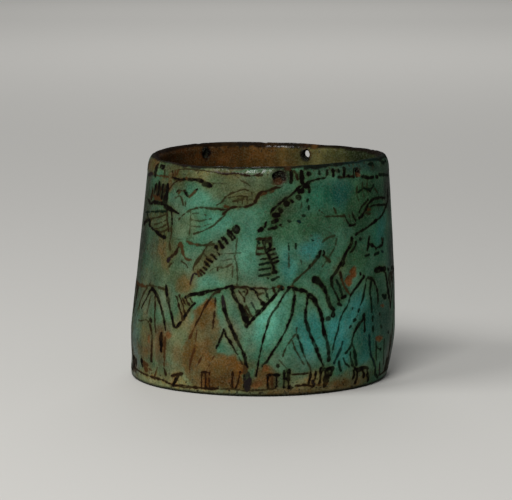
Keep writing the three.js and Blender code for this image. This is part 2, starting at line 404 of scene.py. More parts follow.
# where the glaze has come off the gritty body: centre, half widths, turn in degrees, depth, bareness
losses = [
    ((24.7, 30.8), (1.1, 1.45), -20, 0.32, 1.0),
    ((22.9, 28.8), (1.05, 1.5), 25, 0.34, 1.0),
    ((35.4, 12.3), (2.3, 0.8), -8, 0.28, 0.9),
    ((1.0, 7.6), (0.75, 1.1), 10, 0.22, 0.9),
    ((-0.9, 3.3), (1.7, 1.0), 15, 0.28, 0.85),
    ((-26.2, 14.4), (1.1, 0.9), 0, 0.22, 0.85),
    ((-34.3, 12.3), (0.6, 1.2), 0, 0.15, 0.7),
    ((37.2, 20.6), (1.4, 0.35), -15, 0.18, 0.8),
    ((27.9, 55.1), (0.8, 0.6), -25, 0.3, 0.5),
    ((2.2, 54.6), (1.5, 0.9), 20, 0.5, 0.3),
    ((-30.4, 55.8), (1.6, 0.5), 10, 0.2, 0.3),
    ((-9, 58.1), (2.2, 0.5), 0, 0.2, 0.4),
    ((56, 41), (2.2, 1.6), 30, 0.34, 1.0),
    ((78.5, 11), (1.6, 2.6), -15, 0.32, 1.0),
    ((99, 52.5), (2.6, 1.3), 10, 0.4, 0.9),
    ((121, 24), (1.4, 1.0), 40, 0.25, 1.0),
    ((133, 46), (1.2, 1.8), 0, 0.28, 0.9),
    ((-60, 47), (1.6, 1.2), 0, 0.26, 1.0),
    ((-80, 8), (3.0, 1.4), 12, 0.36, 1.0),
    ((-93, 36), (1.2, 1.0), 0, 0.22, 0.9),
]


def insideOutline(a, z, outline):
    # distance to the nearest edge of a closed outline, positive inside it
    points = np.array(outline, float)
    nearest = np.full(a.shape, 1e9)
    crossings = np.zeros(a.shape, int)
    for (x0, z0), (x1, z1) in zip(points, np.roll(points, -1, 0)):
        length2 = (x1 - x0) ** 2 + (z1 - z0) ** 2
        t = np.clip(((a - x0) * (x1 - x0) + (z - z0) * (z1 - z0)) / length2, 0, 1)
        nearest = np.minimum(nearest, np.hypot(a - x0 - t * (x1 - x0), z - z0 - t * (z1 - z0)))
        spans = (z0 > z) != (z1 > z)
        crossings += spans & (a < x0 + (x1 - x0) * (z - z0) / (z1 - z0 + (z1 == z0)))
    return np.where(crossings % 2 == 1, nearest, -nearest)


def glazeColour(a, z):
    # plain sea green, with soft patches and stains laid over it and a cloudy thick and thin
    warpA = a + 2 * cloud(a, z, 7, 11)
    warpZ = z + 2 * cloud(a, z, 7, 12) * smoothStep(0, 5, z)
    colour = np.broadcast_to(glazes["sea"], a.shape + (3,)).copy()
    for name, centre, halfWidths, amount in glazePatches:
        far = np.hypot(wrapped(warpA - centre[0]) / halfWidths[0], (warpZ - centre[1]) / halfWidths[1])
        share = amount * smoothStep(1.25, 0.25, far)
        colour = mixed(colour, glazes[name], share[..., None])
    ragged = 0.8 * cloud(a, z, 3.5, 21) + 0.3 * ringNoise(a, z, 0.8, 22)
    for name, amount, *outline in stains:
        middle = np.mean(outline, 0)
        local = middle[0] + wrapped(a - middle[0])
        depth = insideOutline(local, z, outline) + ragged
        share = amount * smoothStep(-0.6, 0.6, depth) * (0.85 + 0.3 * cloud(a, z, 4, 23))
        colour = mixed(colour, glazes[name], np.clip(share, 0, 1)[..., None])
    thick = 1 + 0.2 * cloud(a, z, 9, 31) + 0.2 * cloud(a, z, 2.4, 32)
    thick = thick + 0.1 * smoothStep(34, 24, z) * smoothStep(34, 24, abs(wrapped(a)))
    runs = 1 + 0.12 * ringNoise(a, z * 0.16, 1.1, 33) + 0.1 * ringNoise(a, z * 0.12, 2.6, 34)
    return np.clip(colour * (thick * runs)[..., None], 0, 1)


def glazeLoss(a, z):
    # how bare each place is, from 0 to 1, and how deep the loss is there
    bare, depth = np.zeros(a.shape), np.zeros(a.shape)
    ragged = 0.4 * cloud(a, z, 1.6, 41)
    for centre, halfWidths, turn, deep, bareness in losses:
        da, dz = wrapped(a - centre[0]), z - centre[1]
        c, s = math.cos(math.radians(turn)), math.sin(math.radians(turn))
        far = np.hypot((da * c + dz * s) / halfWidths[0], (dz * c - da * s) / halfWidths[1]) + ragged
        bare = np.maximum(bare, bareness * smoothStep(1.1, 0.85, far))
        depth = np.maximum(depth, deep * smoothStep(1.15, 0.7, far))
    return bare, depth


def unevenness(a, z):
    # slow swells left by the hands, and finer ones left by the glaze
    return 0.13 * cloud(a, z, 26, 51, 2) + 0.05 * cloud(a, z, 7, 52) + 0.014 * ringNoise(a, z, 1.3, 53)


print("form, colours and wear are set")


# Brushwork. A stroke is a brush, the share of its width along it, and its points (a, z).

inks = {
    "black": look(13, 10, 8),
    "brown": look(30, 19, 11),
    "russet": look(58, 37, 19),
    "violet": look(30, 24, 26),
    "green": look(10, 22, 15),
    "blue": look(10, 29, 31),
    "sepia": look(36, 31, 17),
}

brushes = {
    "heavy": {"width": 1.06, "strength": 1.0, "ink": "black", "bead": 0.34},
    "line": {"width": 0.7, "strength": 1.0, "ink": "black", "bead": 0.42},
    "brown": {"width": 0.64, "strength": 0.97, "ink": "brown", "bead": 0.42},
    "green": {"width": 0.6, "strength": 0.95, "ink": "green", "bead": 0.42},
    "blue": {"width": 0.66, "strength": 0.95, "ink": "blue", "bead": 0.36},
    "russet": {"width": 0.62, "strength": 0.85, "ink": "russet", "bead": 0.55},
    "violet": {"width": 1.25, "strength": 0.98, "ink": "violet", "bead": 0.25},
    "thin": {"width": 0.4, "strength": 0.85, "ink": "sepia", "bead": 0.45},
    "faint": {"width": 0.34, "strength": 0.62, "ink": "sepia", "bead": 0.45},
}

petalsInFront = [
    # the petal at the left
    ("line", 0.9, (-34.9, 25.3), (-36, 24.4), (-37.5, 22.5), (-38.8, 20.9), (-40.2, 19.6)),
    ("thin", 1.3, (-36.6, 26.3), (-37.5, 25.4), (-39, 24), (-40.6, 22.3), (-42, 20.3), (-43.3, 18.4)),
    ("heavy", (1, 0.9, 0.7, 0.6), (-34.9, 25.3), (-33.5, 24.8), (-32, 23.7), (-30.6, 22), (-29.3, 20),
     (-28.4, 18.2), (-27.8, 16.8), (-27.4, 15.5)),
    ("brown", 0.9, (-33.2, 23.4), (-32.8, 22), (-32.5, 20), (-32.2, 18), (-31.8, 16), (-31.2, 14.4)),
    ("thin", 1, (-35.2, 23.6), (-35.7, 21.5), (-36.4, 18.6)),
    ("heavy", 0.9, (-34.2, 17.3), (-33.8, 17.1)),
    ("brown", (1, 1.1, 1.3), (-34.5, 16.2), (-33.6, 15), (-32.8, 14), (-32.6, 12.5), (-32.7, 10),
     (-32.9, 8), (-32.9, 6.8)),
    ("heavy", 0.8, (-33.3, 6.6), (-32.6, 6.7)),
    ("thin", 1, (-41.5, 16.2), (-40, 16.1), (-38, 16.7), (-36.5, 17), (-35, 16.6)),
    ("heavy", (0.9, 1.25, 1.2, 0.9), (-28.7, 14.6), (-28.8, 13), (-28.7, 11.5), (-28.7, 10)),
    ("russet", 1, (-27.3, 13.6), (-27.3, 11), (-27.4, 8.6), (-27.6, 6.2)),
    # the stained petal
    ("brown", (1.2, 1, 0.8, 0.8), (-11.9, 27), (-12.9, 26.5), (-13.7, 25.7), (-14.6, 24.5), (-15.3, 23.3),
     (-16.2, 21.3), (-17, 19.6), (-17.9, 17.8)),
    ("russet", 0.75, (-17.9, 17.8), (-18.6, 16), (-19.3, 14.4)),
    ("russet", 0.5, (-17.4, 17), (-17.4, 14.6), (-17.6, 12.4)),
    ("russet", 0.65, (-17.7, 11.8), (-18.4, 9.6), (-18.9, 7.5), (-19.1, 5.4)),
    ("russet", 0.55, (-15.2, 10.7), (-16.1, 8.9), (-16.9, 7.2)),
    ("russet", 0.45, (-12.2, 10.4), (-13.2, 8.3), (-14, 6.6)),
    ("brown", 0.75, (-12.9, 25.2), (-12.8, 22.5), (-12.9, 20), (-13, 17.4)),
    ("violet", (0.6, 0.9, 0.7), (-11, 25.8), (-10.7, 24.2), (-10.3, 22.6)),
    ("heavy", (0.95, 0.85, 0.8, 0.75), (-10.4, 23), (-10, 21.6), (-9.3, 20), (-8.4, 18.3), (-7.3, 16),
     (-6.3, 14.3), (-5.3, 12.5), (-4.5, 10.8), (-4, 9), (-3.8, 7.9)),
    ("line", 0.75, (-10.1, 17.3), (-10.6, 15.3), (-11.3, 13.5), (-11.8, 12.3)),
    ("line", 0.8, (-10, 17.3), (-9.3, 15.7), (-8.4, 14.4), (-7.4, 13), (-6.6, 11.6), (-6.1, 11)),
    ("thin", 1, (-5.9, 10.5), (-5.4, 9.6), (-4.9, 8.6)),
    ("russet", 1.3, (-3.9, 8), (-4.2, 6.9), (-3.9, 6.2)),
    ("violet", (1.2, 1.5, 1.55, 1.3), (-3.5, 5.9), (-3.4, 4.6), (-3.4, 3.2), (-3.4, 2)),
    ("line", 0.5, (-4.3, 5.8), (-4.4, 4), (-4.3, 2)),
    ("russet", 1.2, (-4.2, 8.1), (-4, 7.6)),
    ("russet", 1.2, (-4.1, 6.8), (-3.9, 6.3)),
    # the middle petal
    ("line", (0.75, 0.65, 0.65, 0.7), (6.1, 28), (5.2, 26.9), (4.5, 26), (3.7, 24.5), (2.8, 22.9),
     (1.9, 21.6), (1.2, 20.2), (0.8, 18.6), (0.4, 17), (0.1, 15.5), (-0.2, 13.8), (-0.5, 12), (-0.8, 10),
     (-1, 8.2), (-1.2, 6.5), (-1.3, 5.5)),
    ("line", 0.8, (7, 28), (7.4, 26.5), (7.35, 25), (7.1, 23), (6.7, 20.8), (6, 18.7), (5.3, 17),
     (4.4, 15.2), (3.6, 13.6), (2.6, 12), (1.8, 10.5), (0.9, 9.2), (0.2, 8.3)),
    ("line", 1.2, (7.4, 25), (7.3, 24.3)),
    ("line", (1, 1.15, 1), (10.6, 25.4), (10.7, 24), (10.5, 22), (10.4, 20), (10.9, 18.3), (11.6, 16.3),
     (12.6, 14.2), (13.6, 12.2), (14.4, 10.3), (15.2, 8.8), (15.8, 7.6)),
    ("line", (1.4, 1.3, 1.1, 1.3), (11.3, 25.9), (12.5, 24.9), (13.3, 23.6), (14.2, 21.8), (14.8, 20),
     (15.2, 18), (15.6, 16), (16.3, 14), (16.8, 12.3), (17.1, 10.5), (17.3, 9)),
    ("violet", 0.6, (17, 10.7), (17.1, 10.2)),
    ("thin", 1.2, (8.3, 17.9), (8.2, 16.3)),
    ("thin", 1, (8, 16.1), (7, 15), (6, 13.5), (5.4, 12), (5, 10.5)),
    ("green", 0.8, (8.5, 16), (9, 14.5), (9.6, 12.8), (10.2, 11.4)),
    ("thin", 1, (7.3, 14.4), (7.9, 12.6), (8.8, 11), (9.7, 9.5), (10.6, 8.2)),
    ("thin", 1, (10.3, 11.2), (10.9, 9.8), (11.6, 8.6), (12.3, 7.5), (12.7, 6.4)),
    ("faint", 1.2, (4.3, 9.6), (5.3, 8.5), (6.3, 7.4)),
    ("line", 0.9, (3.8, 8.4), (3.9, 8)),
    # the petal at the right
    ("line", (1.1, 0.9, 0.8), (28.5, 29.3), (26.8, 27.8), (25.6, 26.9), (24.6, 26.1), (23.5, 25)),
    ("green", (1.1, 0.95, 0.8), (23.5, 25), (22.7, 22.9), (21.1, 20.9), (20.1, 18.9), (19.6, 16.8),
     (18.8, 14.3), (18.3, 12.6), (18, 10.2)),
    ("green", 1, (29.4, 28.6), (28.9, 26.6), (28.3, 24.8), (27.7, 23.4), (27, 22.2)),
    ("green", 1.2, (26.4, 20.9), (26.2, 20.4)),
    ("green", 1.1, (25.8, 19.6), (25.5, 19.2)),
    ("green", 1.1, (25, 18.6), (24.7, 18.4)),
    ("green", 1.1, (24.3, 21.8), (24.2, 21.4)),
    ("green", 1.1, (23.6, 17.1), (23.3, 16.8)),
    ("blue", 1, (21, 13.4), (20.6, 11.6), (19.6, 9.6), (19, 8)),
    ("heavy", 1, (30.2, 28.7), (31, 28.6), (32, 28.2)),
    ("green", (1.3, 1.1, 1.1), (31.4, 27.6), (30.9, 25.4), (31.2, 23.4), (31.5, 21.4), (31.6, 19.8)),
    ("green", 1.3, (32, 18.4), (32, 17.4)),
    ("green", 1.3, (32.1, 15.6), (32.3, 14.6)),
    ("line", 0.95, (32.2, 28.1), (33.1, 27), (33.9, 25.8), (34.5, 24.2), (34.6, 22.6), (34.4, 21.4)),
    ("line", (1.7, 1.1, 0.8), (28.3, 19.4), (27.8, 18.2), (26.5, 17.3), (25.6, 16.3), (24.7, 15.1)),
    ("green", 1.1, (24.8, 15), (24.2, 13.6), (24, 12.4), (23.2, 11), (22.4, 10.3)),
    ("line", 0.8, (28.4, 19.2), (28.6, 17.2), (28.7, 15.1)),
    ("green", (1, 1.4, 1.7), (24.2, 12.4), (24.9, 11), (25.5, 9.2), (26, 7.8), (26.4, 6.7)),
    ("green", 0.9, (23.7, 10.5), (24.3, 8.5), (25.3, 6.8)),
    ("green", 0.9, (21.6, 9.2), (22.5, 7.6), (24, 6.3)),
    ("green", 0.9, (20.4, 8.4), (20.7, 7), (21.4, 5.7)),
    ("blue", 1.1, (30.5, 13.8), (30.8, 12), (31.2, 10.5), (32, 8.5), (33.2, 7), (34.5, 5.5), (35.8, 4.2)),
    ("green", 1.5, (35.3, 18.8), (35.7, 18.3)),
    ("green", 1.3, (36.1, 15.4), (36.5, 15)),
    ("green", 1.6, (37, 23.4), (38.2, 22.8), (39.4, 22.6)),
    ("green", 1.3, (40.8, 23.7), (42, 23.4)),
    ("green", 1.3, (40.8, 13.2), (41.3, 12.8)),
    ("green", 0.9, (34, 10.4), (35.4, 9.6), (37, 9.2)),
]

wedgesInFront = [
    # left wedge
    ("heavy", (1, 1.05, 0.9, 0.85), (-28.7, 26.7), (-28.2, 25), (-27.3, 23), (-26.4, 21), (-25.5, 19.2),
     (-25, 17.8), (-24.5, 16.8)),
    ("line", 1.2, (-24.5, 16.7), (-23.6, 16.8), (-22.9, 17.7), (-22.2, 18.4)),
    ("line", 1.1, (-21.8, 19), (-20.9, 20.5), (-20.2, 21.5), (-19.4, 22.6), (-18.7, 23.3)),
    ("brown", 0.9, (-25.1, 24.7), (-24.4, 24.2), (-23.8, 23), (-23.1, 21.6), (-22.4, 20.2), (-21.9, 18.9)),
    ("brown", 0.75, (-23.6, 24.9), (-22.9, 23.6), (-22.2, 22.4), (-21.5, 21)),
    ("brown", 0.75, (-22.4, 24.3), (-21.8, 23.3), (-21.1, 22.4), (-20.9, 21.4)),
    ("brown", 0.7, (-21.2, 24.2), (-20.7, 23.4), (-20.2, 22.8)),
    ("brown", 0.7, (-20.2, 24.6), (-19.7, 24), (-19.1, 23.5)),
    # middle wedge
    ("heavy", (1.15, 0.85, 0.8, 1.1, 1.5, 1), (-8.9, 27.9), (-8.3, 26.7), (-7.6, 25.5), (-6.8, 24.3),
     (-6.1, 23.2), (-5.4, 21.8), (-4.9, 20.5), (-4.2, 19.3), (-4.3, 18.3)),
    ("heavy", (0.9, 0.75, 0.75, 1), (-4.3, 18.6), (-3.6, 19.3), (-2.7, 20.4), (-1.2, 22), (0, 23.3),
     (1.5, 25), (2.7, 26.4), (3.9, 28.2)),
    ("brown", 0.8, (-6.9, 27.4), (-6.2, 26.3), (-5.4, 25.4), (-5.2, 24.4)),
    ("brown", (0.9, 1.2), (-4.6, 23.4), (-3.9, 22.1), (-3.2, 20.9)),
    ("brown", 0.75, (-5.2, 23), (-4.5, 21.7), (-3.7, 20.6)),
    ("line", 0.9, (-5.7, 27.1), (-5.4, 27)),
    ("brown", 0.6, (-6.2, 28), (-5, 27.9), (-4.6, 27), (-5, 26)),
    ("blue", 0.8, (-3.5, 24.3), (-2.7, 23.1), (-2.2, 22.1)),
    ("line", 1.1, (-2, 21.9), (-1.3, 22.3)),
    ("line", (1.3, 1, 0.7), (-3.9, 27.8), (-2.9, 27.5), (-2.2, 26.6), (-1.7, 25.5), (-1, 24.6)),
    ("heavy", 1, (-0.6, 24.1), (-0.1, 23.6)),
    ("green", 0.9, (-0.2, 28), (0.3, 26.4), (0.9, 25.1)),
    ("line", 0.8, (0.3, 25.2), (1, 25)),
    ("brown", 0.9, (1.7, 28.2), (2.4, 26.8)),
    ("thin", 1.1, (-2.3, 26.2), (-0.6, 26.8)),
    # right wedge
    ("heavy", (1.5, 1.1, 0.95, 0.9, 1), (12.8, 29.9), (13.8, 29.3), (14.8, 28), (15.8, 26.5), (16.4, 24.6),
     (17.1, 23), (18.2, 21.8)),
    ("heavy", 1.2, (18.1, 21), (18, 20.4)),
    ("heavy", 0.9, (16.4, 19.6), (16.7, 19.6)),
    ("line", (1.1, 0.9, 0.8), (17.4, 29.8), (17.6, 28.2), (18.3, 26.8), (19, 25.4), (19.6, 24.2),
     (20.1, 22.9)),
    ("green", 1.1, (18.8, 29.4), (19.4, 28.4), (20, 27.5), (20.4, 26.2), (20.8, 24.8)),
    ("russet", 0.9, (20.1, 30.8), (20.5, 29.4), (21.1, 28.2), (21.8, 27), (23.2, 25.3)),
    ("heavy", 0.9, (20.7, 24.7), (21.7, 24.9)),
    ("heavy", 0.8, (19.7, 23.1), (20.4, 22.7)),
]

registerInFront = [
    ("russet", (1.6, 1.5, 1), (-47, 25.3), (-44, 25), (-42, 25.3), (-40, 25.2), (-38.4, 25.4)),
    ("thin", 1.2, (-38, 25.5), (-36, 26), (-34, 26.1), (-31, 26), (-29.2, 25.8)),
    ("heavy", (0.7, 0.9, 0.8, 0.7), (-21.6, 24.5), (-20.5, 25.1), (-19.5, 25.5), (-18.3, 25.8),
     (-17, 25.9), (-16, 26.3), (-15, 26.7), (-13.8, 26.9), (-12.5, 27.3)),
    ("line", (1.3, 1, 1.3), (-12.5, 27.3), (-11, 27.7), (-10, 28), (-9, 28.2), (-8.4, 27.9)),
    ("brown", 0.9, (-8, 28.2), (-6.5, 28.2), (-5, 28.25), (-4.3, 28.1)),
    ("brown", 0.65, (-3, 28), (-1, 27.9), (1, 27.8), (2.5, 28.2), (4, 28.6)),
    ("heavy", 0.9, (3.4, 28.2), (4, 27.8)),
    ("russet", 1.2, (3.2, 28.4), (4.4, 28)),
    ("russet", 1, (6.2, 28.3), (7, 28.4)),
    ("heavy", 0.7, (5.8, 28), (6.5, 28.2), (7.2, 28)),
    ("heavy", (0.9, 1.1, 1), (7.8, 27.6), (8.8, 27.3), (10, 27.1), (10.8, 26.4), (11.4, 25.7)),
    ("heavy", 1.25, (33.4, 30.3), (34.5, 30.2), (36, 30.3), (38, 30), (39.5, 29.9)),
    ("green", 1.3, (41.3, 29.5), (42.3, 29.3)),
    ("green", 1.2, (45, 29.4), (48, 29)),
    ("line", 1.1, (27, 30.4), (27.2, 30)),
    ("line", 1.1, (28.2, 29.4), (28.4, 29.1)),
]

baseBandInFront = [
    ("brown", 0.9, (-46, 3.2), (-41, 2.9), (-37, 2.6), (-34, 2.5), (-31, 2.4), (-28, 2.3), (-25, 1.7),
     (-21, 1.6), (-16, 1.7), (-13.4, 1.7), (-11, 1.8)),
    ("thin", 1.1, (-11, 1.8), (-7, 1.9), (-3, 1.6), (1, 1.9), (4, 2.2)),
    ("heavy", 1.1, (-38.4, 5.8), (-38, 4.8)),
    ("russet", 1.8, (-37, 5.2), (-36, 5.6), (-35.2, 5.3)),
    ("russet", 1.4, (-36.8, 4.2), (-35.4, 3.9)),
    ("russet", 1.3, (-34.5, 4.4), (-33, 4.1)),
    ("russet", 1, (-30.4, 5.4), (-31.2, 3.4)),
    ("brown", 1.7, (-27.7, 5.4), (-26.9, 4)),
    ("brown", (0.9, 1.3, 0.9), (-24.8, 4), (-23.2, 4.4), (-21.2, 4.8)),
    ("heavy", (1.2, 1.1, 1), (-22.6, 4.5), (-23.4, 2.9), (-24.3, 1.4)),
    ("brown", 0.75, (-15.5, 5.7), (-15.6, 3.8), (-15.6, 1.7)),
    ("brown", 0.75, (-14.4, 5.8), (-14.5, 3.6), (-14.5, 1.8)),
    ("brown", 0.75, (-13.4, 5.8), (-13.5, 3.6), (-13.4, 1.8)),
    ("brown", 0.8, (-15.6, 5.8), (-14.4, 6), (-13.3, 5.8)),
    ("brown", 0.75, (-7.3, 6.4), (-7.3, 4), (-7.2, 2.1)),
    ("brown", 0.75, (-5.4, 6.5), (-5.8, 4), (-6.4, 2.1)),
    ("line", 1.1, (1.5, 5.7), (2.6, 5.9), (4.4, 5.8)),
    ("line", 0.8, (1.7, 5.7), (1.7, 4), (1.9, 2.3)),
    ("russet", 0.9, (2.7, 5.5), (2.8, 4), (2.9, 2.3)),
    ("line", 0.9, (3.8, 5.6), (3.8, 4), (3.9, 2.3)),
    ("line", 0.9, (5.6, 6.8), (5.7, 4.6), (5.9, 2.3)),
    ("line", 1, (6.8, 6.8), (6.9, 5), (7, 3.2), (7.2, 2.3)),
    ("line", 1.6, (6.8, 6.7), (6.9, 6.3)),
    ("line", 0.8, (5.7, 4.7), (6.9, 4.6)),
    ("line", 1.1, (3.9, 8.3), (4.1, 8.1)),
    ("brown", 0.7, (7.8, 5.7), (10, 5.8), (12, 5.9)),
    ("brown", 0.8, (9, 2.8), (10.5, 2.7), (12.2, 2.7), (13.5, 2.2)),
    ("heavy", 0.65, (12.5, 6.2), (12.6, 4.5), (12.4, 3)),
    ("heavy", 0.7, (14, 6.2), (14, 4.5), (13.6, 3.2), (14, 2.2)),
    ("violet", 0.9, (13.4, 3.6), (14, 2.8)),
    ("heavy", 0.8, (15.3, 6.8), (15.6, 4.5), (15.4, 3)),
    ("heavy", (1.3, 1.4, 1.1), (17, 6.7), (17.2, 4.5), (17, 2.3)),
    ("heavy", 1, (15.5, 6.5), (17, 6.6), (18.6, 6.5)),
    ("heavy", 0.8, (18.6, 6.5), (18.3, 4.8)),
    ("russet", 0.9, (14.4, 2.6), (16, 2.4), (17.6, 2.7)),
    ("line", (0.8, 1.6, 1.4, 1), (24.9, 6.8), (26.4, 5.6), (27.5, 5.2), (29, 5.4), (30.5, 5.3),
     (31.8, 4.8)),
    ("line", 0.9, (25.9, 5.2), (26.2, 4), (26, 3)),
    ("line", 1.1, (27.3, 5), (27.5, 3.2), (27.3, 1.9)),
    ("line", 1.1, (29, 5.2), (29.9, 3.9), (30.4, 2.8)),
    ("line", (1.2, 1.4, 1.9), (31, 5.2), (31.8, 3.6), (32.6, 2.1), (32.9, 1.5)),
    ("green", 1.4, (35.2, 4.2), (36.4, 2.6), (38.4, 1.4)),
    ("violet", 0.7, (37.6, 5.4), (38.6, 3.2), (39, 2)),
    ("green", 0.8, (33.6, 12.4), (34.2, 9.6), (35.2, 6.6)),
    ("green", 0.9, (38.4, 11.5), (39.2, 8), (40.8, 4.6)),
    ("green", 1, (43, 12.2), (43.8, 8.6), (45.2, 5)),
]

rimBandInFront = [
    ("violet", (0.7, 0.8, 0.5), (-47.5, 53.8), (-45, 54.1), (-43, 54.4), (-41.6, 54.6)),
    ("russet", 0.8, (-41, 54.8), (-38, 54.7), (-35, 54.8), (-32, 54.9), (-30, 54.9)),
    ("heavy", (0.4, 0.5, 0.75, 1), (-30, 54.9), (-28, 54.8), (-26, 54.8), (-24, 55), (-22.3, 55),
     (-20.5, 55), (-18.9, 54.8), (-18, 54.4)),
    ("russet", 0.9, (-26.2, 55.1), (-25.8, 55)),
    ("russet", 0.9, (-24.4, 55.2), (-24, 55.1)),
    ("russet", 0.8, (-22.8, 55.3), (-22.4, 55.2)),
    ("heavy", (1.3, 1.35, 1), (-18.1, 54.2), (-17, 53.9), (-16, 53.7)),
    ("heavy", (1.4, 1.7, 1.5), (-38.8, 57.9), (-39.3, 56.4), (-39.7, 54.8)),
    ("heavy", 1.8, (-36.6, 57.6), (-35.2, 57.3)),
    ("violet", 0.8, (-44.4, 54.4), (-42, 54.7)),
    ("brown", 1.5, (-33.8, 56.4), (-33.5, 55)),
    ("brown", 1.2, (-30.2, 56.6), (-29.9, 55.3)),
    ("russet", 1.1, (-29, 56.8), (-28.8, 55.4)),
    ("russet", 0.8, (-27.9, 56.9), (-28, 55.9)),
    ("thin", 1.1, (-28, 57.2), (-24, 57.6), (-20, 57.5), (-17, 57.3), (-14, 57.1)),
    ("brown", 0.8, (-14, 57.1), (-12.5, 56.8), (-10, 57), (-8, 57), (-6.5, 56.6)),
    ("brown", 1, (-6.4, 56.6), (-5, 56.4), (-3.5, 56.6), (-2, 56.6)),
    ("faint", 1.1, (-15.5, 54.3), (-13, 54.4), (-11, 54.3)),
    ("faint", 1, (-9, 56.5), (-7.5, 55.3), (-6, 54.5), (-4.5, 53.6)),
    ("heavy", (0.9, 1.05, 0.9), (6.3, 57.2), (6.3, 55.8), (6.2, 54.6)),
    ("brown", (1.1, 1.5, 1.2), (7.2, 57.3), (7.8, 56.2), (7.9, 55.2)),
    ("heavy", (0.9, 1.05, 0.9), (9.2, 57.1), (9.2, 55.8), (9.2, 54.4)),
    ("heavy", 0.8, (11.1, 56.4), (11.5, 56.4)),
    ("line", 0.6, (11.6, 54.5), (13, 54.8), (14.6, 55), (16.2, 55.2), (16.6, 56)),
    ("line", 1.2, (16.8, 56.9), (16.7, 56)),
    ("line", 1.3, (18.6, 56.8), (18.5, 55.5)),
    ("line", 1.2, (20.3, 55.1), (20.8, 55.1)),
    ("line", 1.3, (22.4, 57), (22.2, 56), (22.1, 55)),
    ("line", 1.2, (23.8, 55.1), (24.3, 54.9)),
    ("green", 1.2, (20.4, 56.9), (20.5, 56.3)),
    ("green", 1.2, (14.4, 57.2), (14.4, 56.2)),
    ("brown", 0.7, (20, 55), (22, 54.9), (24, 54.9), (25.4, 54.9)),
    ("line", (0.9, 1.4, 1, 1.4), (28.8, 54.5), (30, 54.4), (31.4, 54.1), (33, 54), (34.5, 54)),
    ("line", 1.4, (36, 54), (37, 53.8)),
    ("heavy", (0.9, 1, 0.8), (26.2, 56.4), (26, 55.6), (25.8, 54.8)),
    ("green", 1.1, (38, 54.3), (41, 54), (44, 53.8), (47, 53.4)),
    ("green", 1.4, (32.5, 57.4), (35, 57.2)),
    ("green", 1.2, (41, 57.2), (44, 57), (46, 57.2)),
    ("brown", (1.4, 1, 1.3, 1), (-3.5, 49.8), (-2.9, 51), (-2.2, 52), (-0.2, 52.6), (2, 53.2), (3.6, 53.7),
     (4.8, 54.8)),
]

leftBird = [
    # its head, in dark blots
    ("heavy", (1.2, 1.6, 1.7), (-31.7, 52.8), (-31.9, 50.8), (-32.4, 48.6)),
    ("heavy", (1, 1.1, 0.8), (-34.1, 52.4), (-34.2, 50.4), (-34.6, 48.6)),
    ("heavy", (1.3, 1.2, 0.9), (-36.2, 52.6), (-36.4, 50.8), (-36.8, 49.4)),
    ("heavy", (1.2, 1.1), (-38.4, 52.2), (-39, 50.2)),
    ("brown", 1.9, (-40.4, 51), (-41.2, 48.4)),
    ("brown", 1.2, (-37.4, 51.8), (-37.7, 49.8)),
    ("brown", 1.1, (-35.2, 52.2), (-35.6, 49.4)),
    ("brown", 1, (-33, 52.2), (-33.3, 49.2)),
    ("russet", 1.6, (-39.6, 49.2), (-38, 48.8), (-36.4, 49), (-34.4, 48.5)),
    # its back
    ("heavy", (0.75, 0.8, 0.9, 1.1, 0.55), (-44.5, 47.5), (-41, 47), (-39, 47.5), (-37, 47.7), (-35, 47.8),
     (-33.5, 47.7), (-32, 47.2), (-31, 46.9), (-29.8, 46.8), (-28.7, 46.5), (-27.5, 46.2), (-26.2, 45.9)),
    # the fan of its wing
    ("green", 0.9, (-46, 44), (-44, 44.3), (-42, 44.6), (-40, 44.9), (-38, 45.1), (-36, 45.4), (-34, 45.6),
     (-31.5, 45.9)),
    ("thin", 1.2, (-40, 42.8), (-38, 43.4), (-36, 43.8), (-34, 44.3), (-31.4, 45.2)),
    ("thin", 1.1, (-40, 41.2), (-37, 41.9), (-34, 42.6), (-31, 43.8)),
    ("thin", 1, (-37, 40.8), (-34.4, 41.2), (-31, 42.4)),
    ("thin", 1, (-34, 40), (-32, 40.6), (-30.2, 41.4)),
    ("green", 1.2, (-44, 44.3), (-42.5, 43.3), (-41, 42.4)),
    ("line", 1.4, (-46, 41), (-44, 41.8), (-42.5, 42.4), (-41, 42.5), (-40.3, 42)),
    ("line", (0.9, 1, 1.1, 1.2), (-41, 41.4), (-39, 40.9), (-37, 40.5), (-35, 40), (-33.5, 39.5),
     (-32, 39.1)),
    ("heavy", 1.2, (-31.6, 39.2), (-30.9, 39.2)),
    # its legs
    ("brown", 0.9, (-31.2, 46.5), (-30.8, 44.5), (-30.3, 42.5), (-29.7, 41)),
    ("line", 1, (-29, 45.8), (-28.8, 44.4), (-28.6, 43)),
    ("thin", 1.3, (-28.6, 42), (-28.6, 40), (-28.9, 38)),
    ("thin", 2.2, (-28.9, 37.6), (-28.4, 36.4)),
    # the beak and a second small head before it
    ("brown", 0.75, (-31.2, 51.2), (-30.7, 51.9), (-29.8, 53), (-28.1, 54), (-25.8, 54.6)),
    ("brown", 0.9, (-27.5, 51.4), (-26.6, 51.9), (-25.6, 51.8), (-24.4, 52)),
    ("russet", 1, (-26.9, 51), (-26.2, 51.5)),
    ("line", (1.1, 1.4, 1), (-24.8, 51.8), (-23.9, 51.2), (-23.4, 50.7)),
    ("russet", (1.1, 1.5, 1.2), (-22.8, 50.5), (-21.8, 51.4), (-21, 52.1)),
    ("heavy", 0.8, (-20.9, 52.2), (-20.3, 52.6)),
    ("thin", 1.3, (-26.3, 50.6), (-25.3, 49.5), (-24.8, 48.2)),
    ("thin", 1.2, (-24, 49.6), (-24, 47.8)),
    ("faint", 1.4, (-28, 49.8), (-26.4, 50.4)),
]

